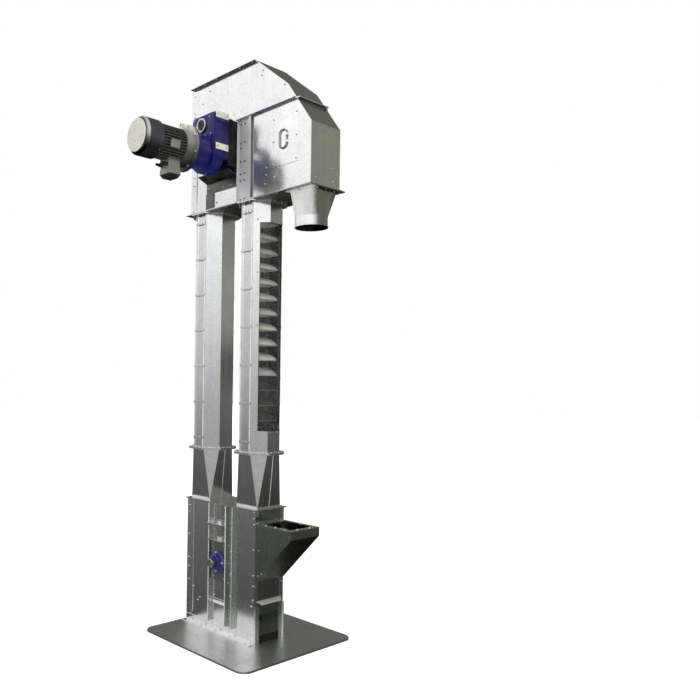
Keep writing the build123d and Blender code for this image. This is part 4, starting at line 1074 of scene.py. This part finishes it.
def bolt_leg_rings():
    """Bolts of the eight-sided flange rings at both ends of the legs."""
    low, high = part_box("falling_leg_inner")
    reach = high.y - 14 * MM
    ring = []
    for leg in (-LEG_CENTRE, LEG_CENTRE):
        for side in range(8):
            turn = side * math.pi / 4
            for along in (-32 * MM, 32 * MM):
                x = reach * math.cos(turn) - along * math.sin(turn)
                y = reach * math.sin(turn) + along * math.cos(turn)
                ring.append((leg + x, y))
    places = through(ring, low.z + 2 * SHEET, low.z - 2 * SHEET, RIM_SIZE)
    places += [(Vector((x, y, high.z - 2 * SHEET)), DOWN, RIM_SIZE) for x, y in ring]
    bolted("leg_ring_bolts", places)


def bolt_spout():
    """Bolts under the spout's top flange, three on each side."""
    low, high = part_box("spout")
    centre = (low + high).x / 2
    half_x = (high.x - low.x) / 2 - 9 * MM
    half_y = (high.y - low.y) / 2 - 9 * MM
    under = high.z - SHEET
    places = []
    for step in (-1.0, 0.0, 1.0):
        for side in (-1.0, 1.0):
            places.append((Vector((centre + step * half_x, side * half_y, under)), DOWN, COVER_SIZE))
            spot = Vector((centre + side * half_x, 0.6 * step * half_y, under))
            places.append((spot, DOWN, COVER_SIZE))
    bolted("spout_bolts", places)


def bolt_boot():
    """Bolts of the boot's laps, folds, slides and posts, of the hopper's cheeks and the end walls."""
    end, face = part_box("boot_sides")[1].x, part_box("boot_sides")[1].y
    tail_low, tail_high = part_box("boot_tail_end")
    post_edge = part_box("boot_posts")[1].x
    post_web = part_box("boot_posts")[1].y - 22 * MM
    places = up_column(tail_low.x + 20 * MM, tail_high.y, BOOT_LAP_HEIGHTS, WALL_SIZE)
    places += on_walls(BOOT_BOLTS, face, WALL_SIZE)
    places += up_column(BOOT_FOLD, face, BOOT_FOLD_HEIGHTS, COVER_SIZE)
    places += up_column(SLIDE_COLUMN, face + SHEET, SLIDE_HEIGHTS, COVER_SIZE)
    places += up_column(post_edge - 36 * MM, post_web, POST_HEIGHTS, WALL_SIZE)
    places += up_column(post_edge - 54 * MM, post_web, INNER_POST_HEIGHTS, CLIP_SIZE)
    places += on_walls(CHEEK_BOLTS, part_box("inlet_hopper")[1].y, CLIP_SIZE)
    inlet_rows = spaced(357 * MM, 780 * MM, 4)
    tail_rows = spaced(120 * MM, 760 * MM, 5)
    places += on_end(end, RIGHT, (-113 * MM, 113 * MM), inlet_rows, CLIP_SIZE)
    places += on_end(tail_low.x, LEFT, (-100 * MM, 100 * MM), tail_rows, END_SIZE)
    bolted("boot_bolts", places)
    plate_face = face + 2 * SHEET + 0.5 * MM
    corners = [(x, z) for x in (-50, 50) for z in (352, 560)]
    bolted("carriage_bolts", on_walls(corners, plate_face, END_SIZE), "takeup_carriage")


def bolt_foot():
    """Bolts down through the foot angles into the base plate, and into the boot's walls."""
    low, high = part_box("foot_angles")
    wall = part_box("boot_sides")[1].y
    angle = 4 * MM
    places = []
    upright = []
    for x in spaced(low.x + 40 * MM, high.x - 40 * MM, 5):
        for side in (low.y + 13 * MM, high.y - 13 * MM):
            places.append((Vector((x, side, low.z + angle)), UP, FOOT_SIZE))
        upright.append((x + 30 * MM, wall + angle, high.z - 12 * MM))
    bolted("foot_bolts", places + both_sides(upright, COVER_SIZE))


def bolt_hopper():
    """Bolts of the hopper's rim, with nuts below its long sides."""
    low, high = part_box("inlet_rim")
    places = []
    for x in spaced(low.x + 75 * MM, high.x - 60 * MM, 3):
        for side in (low.y + 15 * MM, high.y - 15 * MM):
            places.append((Vector((x, side, high.z)), UP, RIM_SIZE))
            places.append((Vector((x, side, low.z)), DOWN, COVER_SIZE))
    for side in spaced(low.y + 70 * MM, high.y - 70 * MM, 2):
        places.append((Vector((high.x - 15 * MM, side, high.z)), UP, RIM_SIZE))
    bolted("hopper_bolts", places)


def screw_window():
    """Small button screws along the margins of the clear panel."""
    low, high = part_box("leg_window")
    margin_x, margin_y = 292.0 * MM, 104.8 * MM
    slant = math.sqrt(0.5)
    places = []
    for level in spaced(1291 * MM, 2569 * MM, 5):
        for side, way in ((-1.0, NEAR), (1.0, FAR)):
            spot = Vector((margin_x, side * margin_y, level))
            places.append((spot, slant * RIGHT + slant * way, 1.0))
    ends = (low.z + 7 * MM, high.z - 7 * MM)
    places += on_end(high.x + SHEET, RIGHT, (-30 * MM, 30 * MM), ends, 1.0)
    screwed("window_screws", places)


def bolt_round_cover():
    """Six bolts round the cover on the far side."""
    low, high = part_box("round_cover")
    centre = (low + high) / 2
    reach = (high.x - low.x) / 2 - 11 * MM
    places = []
    for step in range(6):
        turn = step * math.pi / 3
        spot = Vector((centre.x + reach * math.cos(turn), high.y, centre.z + reach * math.sin(turn)))
        places.append((spot, FAR, COVER_SIZE))
    bolted("round_cover_bolts", places)


def bolt_brackets():
    """Bolts of the shelves under the head bearings: on the near side's laps and wall, and the far
    side."""
    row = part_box("shelf_brackets")[1].z - 30 * MM
    places = [(Vector((x * MM, -LAP_FACE, z * MM)), NEAR, BRACKET_SIZE) for x, z in SHELF_BOLTS]
    places.append((Vector((-72 * MM, -HEAD_WALL, 2732 * MM)), NEAR, BRACKET_SIZE))
    places += [(Vector((x * MM, LAP_FACE, row)), FAR, BRACKET_SIZE) for x in (-55, 0, 55)]
    bolted("bracket_bolts", places)


# Flange bearings, with radii as shares of half the casting's width
BOSS_SHARE = 0.66
CAP_SHARE = 0.44
EAR_SHARE = 0.20
DIAMOND_SHARE = 1.22


def turned_across(x, z, start, end, radius, sides):
    """A round bar along Y."""
    return turned((x, start, z), (x, end, z), radius, sides)


def bearing_foot(middle, half, seat, face, diamond):
    """Plate with rounded corners, square or standing on a corner."""
    if diamond:
        foot = turned_across(middle.x, middle.z, seat, face, DIAMOND_SHARE * half, 4)
        corner = 0.36 * half
    else:
        low, high = sorted((seat, face))
        foot = block((middle.x - half, low, middle.z - half), (middle.x + half, high, middle.z + half))
        corner = 0.34 * half
    choose_edges(foot, lambda a, b: abs(a.y - b.y) > 5 * MM)
    bpy.ops.mesh.bevel(offset=corner, segments=5)
    done()
    return foot


def model_bearing(node, body, seat, diamond=False):
    """A pair of bearings, each a foot, a stepped boss, four ears, an end cap and four bolts."""
    low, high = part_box(node)
    middle = (low + high) / 2
    half = (high.x - low.x) / 2
    first, reach = (0.0, 0.80 * half) if diamond else (math.pi / 4, 0.98 * half)
    ears = []
    for step in range(4):
        turn = first + step * math.pi / 2
        ears.append((middle.x + reach * math.cos(turn), middle.z + reach * math.sin(turn)))
    pieces, caps, places = [], [], []
    for side, way in ((-1, NEAR), (1, FAR)):
        base, front = side * seat, side * high.y
        foot = bearing_foot(middle, half, base, base + side * 15 * MM, diamond)
        inset_end(foot, way, (6 * MM, 3 * MM))
        boss = turned_across(middle.x, middle.z, base, front - side * 2 * MM, BOSS_SHARE * half, 40)
        inset_end(boss, way, (7 * MM, 2 * MM), (4 * MM, -6 * MM))
        pieces += [rounded(foot, 1.6 * MM), rounded(boss, 1.2 * MM)]
        ear_face = base + side * 21 * MM
        for x, z in ears:
            ear = turned_across(x, z, base + side * 8 * MM, ear_face, EAR_SHARE * half, 20)
            pieces.append(rounded(ear, 1.2 * MM))
            places.append((Vector((x, ear_face, z)), way, BEARING_SIZE))
        cap_base, cap_face = front - side * 9 * MM, front - side * 1 * MM
        cap = turned_across(middle.x, middle.z, cap_base, cap_face, CAP_SHARE * half, 36)
        inset_end(cap, way, (5 * MM, 1 * MM))
        caps.append(rounded(cap, 1.5 * MM))
    casting = finished(joined(pieces), node + "_cast", body, bearing_paint)
    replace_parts(casting, node)
    finished(joined(caps), node + "_caps", body, black_plastic)
    bolted(node + "_bolts", places, body)


# Folded sheet pieces of the boot, the transitions and the legs
def fold_gate_hood():
    """Narrow folded hood between the gate's two guides."""
    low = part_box("gate_hood")[0]
    side = 104 * MM
    crease = low.z + 36 * MM
    hood = block((low.x, -side, crease - SHEET), (low.x + 26 * MM, side, crease))
    choose_end(hood, RIGHT)
    bpy.ops.transform.translate(value=(0, 0, -18 * MM))
    bpy.ops.transform.resize(value=(1.0, 0.8, 1.0))
    done()
    finished(rounded(hood, 0.6 * MM), "folded_hood", "casing", strap_zinc)
    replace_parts(hood, "gate_hood")


def fold_seams():
    """Standing seams down the middle of the transitions' end faces."""
    foot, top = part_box("leg_transitions")[0].z + 4 * MM, LEG_FOOT - 8 * MM
    half_x, half_y = 0.8 * MM, 1.6 * MM
    strips = []
    for leg in (-LEG_CENTRE, LEG_CENTRE):
        for side in (-1.0, 1.0):
            x = leg + side * 92 * MM
            strip = block((x - half_x, -half_y, foot), (x + half_x, half_y, top))
            choose_end(strip, UP)
            bpy.ops.transform.translate(value=(side * 32.2 * MM, 0, 0))
            done()
            strips.append(strip)
    # The seams take the lighter zinc of painted highlight.
    finished(joined(strips), "transition_seams", "casing", highlight_zinc)


def fold_leg_edges():
    """Strips of painted highlight along the folded edges of the half shells, on both sides of each leg's
    seam groove.
    """
    foot, top = LEG_FOOT + 10 * MM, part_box("falling_leg_inner")[1].z - 12 * MM
    strips = []
    for leg in (-LEG_CENTRE, LEG_CENTRE):
        for offset in (-44 * MM, 44 * MM):
            for side in (-1.0, 1.0):
                inner, outer = sorted((side * LEG_HALF, side * (LEG_HALF + 2.2 * MM)))
                x = leg + offset
                strip = block((x - 4 * MM, inner, foot), (x + 4 * MM, outer, top))
                strips.append(rounded(strip, 0.9 * MM))
    finished(joined(strips), "leg_edge_highlights", "casing", highlight_zinc)


def edge_posts():
    """Strips of painted highlight along the edges of the boot's upright posts."""
    low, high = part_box("boot_posts")
    width = 3.5 * MM
    strips = []
    for x in (low.x + 27 * MM, high.x - 66 * MM, high.x - width):
        for side in (-1.0, 1.0):
            inner, outer = sorted((side * (high.y - 4 * MM), side * (high.y + 0.8 * MM)))
            strip = block((x, inner, low.z + 2 * MM), (x + width, outer, high.z - 2 * MM))
            strips.append(rounded(strip, 0.7 * MM))
    finished(joined(strips), "post_edge_highlights", "casing", highlight_zinc)


# Buckets: one is moulded, then copied all round the belt
BUCKET_REACH = 110 * MM
BUCKET_HALF = 90 * MM
BUCKET_HEIGHT = 55 * MM
BELT_OUTSIDE = 165.3 * MM
BUCKET_COUNT = 69
FIRST_BUCKET = 0.3


def model_bucket():
    """Moulded bucket with its back on the plane x = 0, its mouth towards +Z and a front curved up
    to the lip."""
    bucket = block((0, -BUCKET_HALF, 0), (BUCKET_REACH, BUCKET_HALF, BUCKET_HEIGHT))
    choose_edges(bucket, lambda a, b: min(a.x, b.x) > 0.9 * BUCKET_REACH and max(a.z, b.z) < 1 * MM)
    bpy.ops.mesh.bevel(offset_type="PERCENT", offset_pct=98.0, segments=6, profile=0.4)
    done()
    choose_end(bucket, UP)
    bpy.ops.mesh.delete(type="FACE")
    done()
    take(bucket)
    wall = bucket.modifiers.new("wall", "SOLIDIFY")
    wall.thickness = 4 * MM
    wall.offset = -1.0
    bpy.ops.object.modifier_apply(modifier=wall.name)
    rounded(bucket, 1.0 * MM, 1, 60.0)
    return bucket


def model_lip():
    """The bucket's thickened lip, in the same frame."""
    inside, under = BUCKET_REACH - 5 * MM, BUCKET_HEIGHT - 4 * MM
    lip = block((inside, -BUCKET_HALF, under), (BUCKET_REACH, BUCKET_HALF, BUCKET_HEIGHT))
    front = BUCKET_REACH - 1 * MM
    choose_edges(lip, lambda a, b: abs(a.y - b.y) > 10 * MM and min(a.x, b.x) > front)
    bpy.ops.mesh.bevel(offset=1.2 * MM, segments=2)
    done()
    return lip


def bucket_stations():
    """Where each bucket's back meets the belt: a point, the way outward and the way ahead."""
    foot, top = mid_height("boot_shaft"), mid_height("head_shaft")
    run = top - foot
    radius = BELT_OUTSIDE - 0.3 * MM
    bend = math.pi * radius
    total = 2 * run + 2 * bend
    stations = []
    for number in range(BUCKET_COUNT):
        travel = (number + FIRST_BUCKET) * total / BUCKET_COUNT
        if travel < run:
            turn, height = math.pi, foot + travel
        elif travel < run + bend:
            turn, height = math.pi - (travel - run) / radius, top
        elif travel < 2 * run + bend:
            turn, height = 0.0, top - (travel - run - bend)
        else:
            turn, height = -(travel - 2 * run - bend) / radius, foot
        outward = Vector((math.cos(turn), 0, math.sin(turn)))
        ahead = Vector((math.sin(turn), 0, -math.cos(turn)))
        stations.append((Vector((0, 0, height)) + BELT_OUTSIDE * outward, outward, ahead))
    return stations


def place_buckets():
    """Buckets, their lips and screws at even steps round both pulleys, as the CAD node has them."""
    pattern = model_bucket()
    lip_pattern = model_lip()
    shells, lips, screws = [], [], []
    for origin, outward, ahead in bucket_stations():
        across = ahead.cross(outward)
        basis = Matrix((outward, across, ahead)).transposed().to_4x4()
        for shape, copies in ((pattern, shells), (lip_pattern, lips)):
            copy = linked("bucket", shape.data.copy())
            copy.data.transform(Matrix.Translation(origin) @ basis)
            copies.append(copy)
        for side in (-55 * MM, 0.0, 55 * MM):
            spot = origin + 3.8 * MM * outward + side * across + 34 * MM * ahead
            screws.append((spot, outward, BUCKET_SIZE))
    buckets = finished(joined(shells), "moulded_buckets", "casing", bucket_shell)
    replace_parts(buckets, "buckets")
    finished(joined(lips), "bucket_lips", "casing", plate_alloy)
    screwed("bucket_screws", screws)
    discard(pattern, lip_pattern)


# Gear unit, motor and terminal box
def dress_gear_unit():
    """Softened casting, two ivory pads with their screws, and the bolts of the front cover."""
    low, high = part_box("gear_housing")
    soft = softened("gear_housing", 3.2 * MM, 3, 40.0)
    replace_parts(finished(soft, "gear_casting", "casing", gear_paint), "gear_housing")
    half = 19 * MM
    pads, screws = [], []
    for level in (high.z - 21 * MM, LOWER_PAD):
        corner = (high.x - 0.2 * MM, low.y + 5 * MM, level - half)
        pad = block(corner, (high.x + 1.6 * MM, high.y - 8 * MM, level + half))
        inset_end(pad, RIGHT, (1.2 * MM, 0.6 * MM))
        pads.append(pad)
        for y in (low.y + 18 * MM, high.y - 22 * MM):
            screws.append((Vector((high.x + 1.0 * MM, y, level)), RIGHT, 0.8))
    finished(joined(pads), "pad_faces", "casing", pad_ivory)
    screwed("pad_screws", screws, bracket_steel)
    front = [(Vector((x * MM, low.y, z * MM)), NEAR, END_SIZE) for x, z in GEAR_COVER_BOLTS]
    bolted("gear_cover_bolts", front)


def bolt_motor():
    """Bolts round the motor's flange and the screws of its cowl."""
    flange_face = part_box("motor_shield")[1].y - 12 * MM
    radius = 127 * MM
    places = []
    for step in range(8):
        turn = (step + 0.5) * math.pi / 4
        spot = (radius * math.cos(turn), flange_face, MOTOR_AXIS + radius * math.sin(turn))
        places.append((Vector(spot), NEAR, 1.0))
    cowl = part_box("fan_cowl")[1]
    for turn in (math.pi / 4, 3 * math.pi / 4, -math.pi / 4, -3 * math.pi / 4):
        way = Vector((math.cos(turn), 0, math.sin(turn)))
        spot = Vector((0, cowl.y - 12 * MM, MOTOR_AXIS)) + way * (cowl.x - 0.2 * MM)
        places.append((spot, way, WALL_SIZE))
    bolted("motor_bolts", places)


def fit_plate():
    """Blank plate on the side of the motor, turned a little down."""
    middle = (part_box("motor_shield")[0].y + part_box("fan_cowl")[1].y) / 2
    half_y, half_z = 34 * MM, 22 * MM
    plate = block((101.2 * MM, middle - half_y, -half_z), (102.6 * MM, middle + half_y, half_z))
    inset_end(plate, RIGHT, (2.0 * MM, -0.4 * MM))
    rounded(plate, 0.4 * MM)
    tilt = Matrix.Rotation(math.radians(15), 4, "Y")
    plate.data.transform(Matrix.Translation((0, 0, MOTOR_AXIS)) @ tilt)
    finished(plate, "blank_plate", "casing", plate_alloy)


def fit_guard():
    """Pale disc with a raised middle behind the slots of the cowl."""
    guard = turned_across(0, MOTOR_AXIS, COWL_FRONT + 4 * MM, COWL_FRONT + 2.5 * MM, 92 * MM, 40)
    inset_end(guard, NEAR, (6 * MM, 0.4 * MM))
    finished(guard, "cowl_guard", "casing", pad_ivory)


def screw_lid():
    """Four screws in the corners of the terminal box's lid."""
    low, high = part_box("terminal_box")
    margin = 9 * MM
    screws = []
    for x in (low.x + margin, high.x - margin):
        for y in (low.y + margin, high.y - margin):
            screws.append((Vector((x, y, low.z + 20 * MM)), DOWN, 0.7))
    screwed("lid_screws", screws)


def cap_output():
    """Steel ring and dark end cover on the gear unit's hollow output."""
    low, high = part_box("output_sleeve")
    centre = (low + high) / 2
    x, z = centre.x, centre.z
    radius = (high.x - low.x) / 2
    ring = turned_across(x, z, low.y, low.y - 4 * MM, radius - 1 * MM, 48)
    inset_end(ring, NEAR, (9 * MM, 0.0), (2 * MM, -3.4 * MM))
    finished(rounded(ring, 0.8 * MM), "output_ring", "head_rotor", turned_steel)
    cover = turned_across(x, z, low.y - 0.8 * MM, low.y - 2.4 * MM, radius - 14 * MM, 40)
    inset_end(cover, NEAR, (6 * MM, 1.6 * MM), (9 * MM, -2.0 * MM))
    finished(rounded(cover, 0.6 * MM), "output_cover", "head_rotor", black_plastic)


bolt_head_laps()
bolt_head_flanges()
bolt_head_walls()
bolt_straps()
bolt_hatches()
bolt_clips()
bolt_leg_rings()
bolt_spout()
bolt_boot()
bolt_foot()
bolt_hopper()
screw_window()
bolt_round_cover()
bolt_brackets()
model_bearing("head_bearings", "casing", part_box("bearing_plates")[1].y)
model_bearing("boot_bearings", "takeup_carriage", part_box("boot_bearings")[1].y - 46 * MM, diamond=True)
fold_gate_hood()
fold_seams()
fold_leg_edges()
edge_posts()
place_buckets()
dress_gear_unit()
bolt_motor()
fit_plate()
fit_guard()
screw_lid()
cap_output()
discard(bolt, button)


# Floor, light and camera
CAMERA_PLACE = Vector((3.426301, -3.122791, 1.559235))
CAMERA_YAW = 49.719
CAMERA_PITCH = 0.067
CAMERA_ROLL = 0.785
CAMERA_LENS = 37.06
CAMERA_SHIFT = (0.2, 0.05)
FLOOR_WIDTH = 80.0
FLOOR_GLOW = 0.25
WHITE = (1.0, 1.0, 1.0)


def place_camera():
    """The camera that was solved on the photograph."""
    yaw, pitch, roll = (math.radians(angle) for angle in (CAMERA_YAW, CAMERA_PITCH, CAMERA_ROLL))
    ahead = Vector((-math.sin(yaw) * math.cos(pitch), math.cos(yaw) * math.cos(pitch), math.sin(pitch)))
    level = Vector((math.cos(yaw), math.sin(yaw), 0.0))
    upright = level.cross(ahead)
    right = level * math.cos(roll) + upright * math.sin(roll)
    up = upright * math.cos(roll) - level * math.sin(roll)
    data = bpy.data.cameras.new("camera")
    data.sensor_width = 36.0
    data.lens = CAMERA_LENS
    data.shift_x, data.shift_y = CAMERA_SHIFT
    camera = linked("camera", data)
    turn = Matrix((right, up, -ahead)).transposed().to_4x4()
    camera.matrix_world = Matrix.Translation(CAMERA_PLACE) @ turn
    bpy.context.scene.camera = camera


def lay_floor():
    """Wide pale floor that glows a little, so that it fades into the white room."""
    begin()
    bpy.ops.mesh.primitive_plane_add(size=FLOOR_WIDTH, location=(0.0, 0.0, 0.0))
    floor = bpy.context.object
    floor.name = "floor"
    finish = Finish("floor_paint")
    drift = noise(finish.tree, finish.place, 0.8, 2.0)
    paint = blend_colours(finish.tree, drift, opaque((0.90, 0.90, 0.90)), opaque((0.91, 0.91, 0.91)))
    finish.set("Base Color", paint)
    finish.set("Roughness", 0.9)
    finish.set("Specular IOR Level", 0.0)
    glow = blend_colours(finish.tree, drift, opaque((0.98, 0.98, 0.98)), opaque(WHITE))
    finish.set("Emission Color", glow)
    finish.set("Emission Strength", FLOOR_GLOW)
    floor.data.materials.append(finish.material)
    floor.visible_glossy = False


def soft_sun(strength):
    """Wide, soft light from above the camera's left, which leaves only faint shadows on the floor."""
    data = bpy.data.lights.new("soft_sun", "SUN")
    data.energy = strength
    data.angle = math.radians(50.0)
    lamp = linked("soft_sun", data)
    lamp.rotation_euler = Vector((-0.25, 0.75, -1.6)).to_track_quat("-Z", "Y").to_euler()
    lamp.visible_glossy = False


# How bright the room is on each side, from 30 degrees below the horizon at 0 to 30 above at 1
DRIVE_SIDE = (
    (0.10, 0.06), (0.22, 0.09), (0.27, 0.10), (0.33, 0.14), (0.40, 0.20),
    (0.45, 0.34), (0.53, 0.58), (0.63, 0.74), (0.72, 0.88), (0.77, 1.02), (0.84, 1.20),
)
CAMERA_SIDE = (
    (0.12, 0.16), (0.20, 0.26), (0.30, 0.32), (0.42, 0.42), (0.47, 0.46), (0.53, 0.62),
    (0.60, 0.80), (0.66, 1.06), (0.72, 1.22), (0.85, 1.30),
)
OUTLET_SIDE = (
    (0.12, 0.015), (0.22, 0.045), (0.32, 0.12), (0.42, 0.085), (0.46, 0.14), (0.485, 0.28),
    (0.505, 0.02), (0.55, 0.02), (0.575, 0.38), (0.68, 0.32), (0.73, 0.21), (0.79, 0.25),
    (0.88, 0.26), (0.98, 0.17),
)
OUTLET_GREEN = 1.01
OUTLET_BLUE = 0.81
BAND_STRETCH = (7.0, 7.0, 0.5)
BAND_SHADES = (0.3, 0.7, 0.86, 1.14)
TO_CAMERA = (-0.1, 0.4)
TO_OUTLET = (-0.30, 0.10)
DIM_AWAY = (-0.6, 0.3, 0.52, 1.0)
SUN_STRENGTH = 1.3


def ramp(tree, value, stops):
    """A curve of brightness from a few stops, each a position and a level."""
    node = add_node(tree, "ShaderNodeValToRGB")
    feed(tree, node.inputs["Fac"], value)
    elements = node.color_ramp.elements
    while len(elements) < len(stops):
        elements.new(0.5)
    for element, (position, level) in zip(elements, stops):
        element.position = position
        element.color = (level, level, level, 1.0)
    return node.outputs["Color"]


def light_studio():
    """White room. What gloss mirrors is set by direction: bright before the drive side and above, dim
    behind and low down, with soft upright bands."""
    world = bpy.data.worlds.new("studio")
    bpy.context.scene.world = world
    world.use_nodes = True
    tree = world.node_tree
    tree.nodes.clear()
    coordinates = add_node(tree, "ShaderNodeTexCoord")
    way = coordinates.outputs["Generated"]
    split = add_node(tree, "ShaderNodeSeparateXYZ")
    feed(tree, split.inputs[0], way)
    rise = spread(tree, split.outputs["Z"], -0.5, 0.5)
    to_camera = spread(tree, split.outputs["X"], *TO_CAMERA)
    front = blend_colours(tree, to_camera, ramp(tree, rise, DRIVE_SIDE), ramp(tree, rise, CAMERA_SIDE))
    behind = spread(tree, split.outputs["Y"], *TO_OUTLET)
    level = blend_colours(tree, behind, front, ramp(tree, rise, OUTLET_SIDE))
    away = spread(tree, split.outputs["X"], *DIM_AWAY)
    yellow = add_node(tree, "ShaderNodeCombineColor")
    feed(tree, yellow.inputs[0], away)
    feed(tree, yellow.inputs[1], times(tree, away, OUTLET_GREEN))
    feed(tree, yellow.inputs[2], times(tree, away, OUTLET_BLUE))
    tint = blend_colours(tree, behind, opaque(WHITE), yellow.outputs[0])
    bands = noise(tree, stretched(tree, way, BAND_STRETCH), 1.0, 3.0)
    shade = spread(tree, bands, *BAND_SHADES)
    level = blend_colours(tree, 1.0, level, tint, "MULTIPLY")
    rays = add_node(tree, "ShaderNodeLightPath")
    gloss = add_node(tree, "ShaderNodeBackground")
    feed(tree, gloss.inputs["Color"], level)
    feed(tree, gloss.inputs["Strength"], shade)
    pale = add_node(tree, "ShaderNodeBackground")
    feed(tree, pale.inputs["Color"], opaque(WHITE))
    feed(tree, pale.inputs["Strength"], 1.0)
    pick = add_node(tree, "ShaderNodeMixShader")
    feed(tree, pick.inputs[0], rays.outputs["Is Glossy Ray"])
    tree.links.new(pale.outputs[0], pick.inputs[1])
    tree.links.new(gloss.outputs[0], pick.inputs[2])
    output = add_node(tree, "ShaderNodeOutputWorld")
    tree.links.new(pick.outputs[0], output.inputs[0])
    soft_sun(SUN_STRENGTH)


def finish_scene():
    """Plain view of the colours."""
    bpy.context.scene.view_settings.view_transform = "Standard"


place_camera()
lay_floor()
light_studio()
finish_scene()
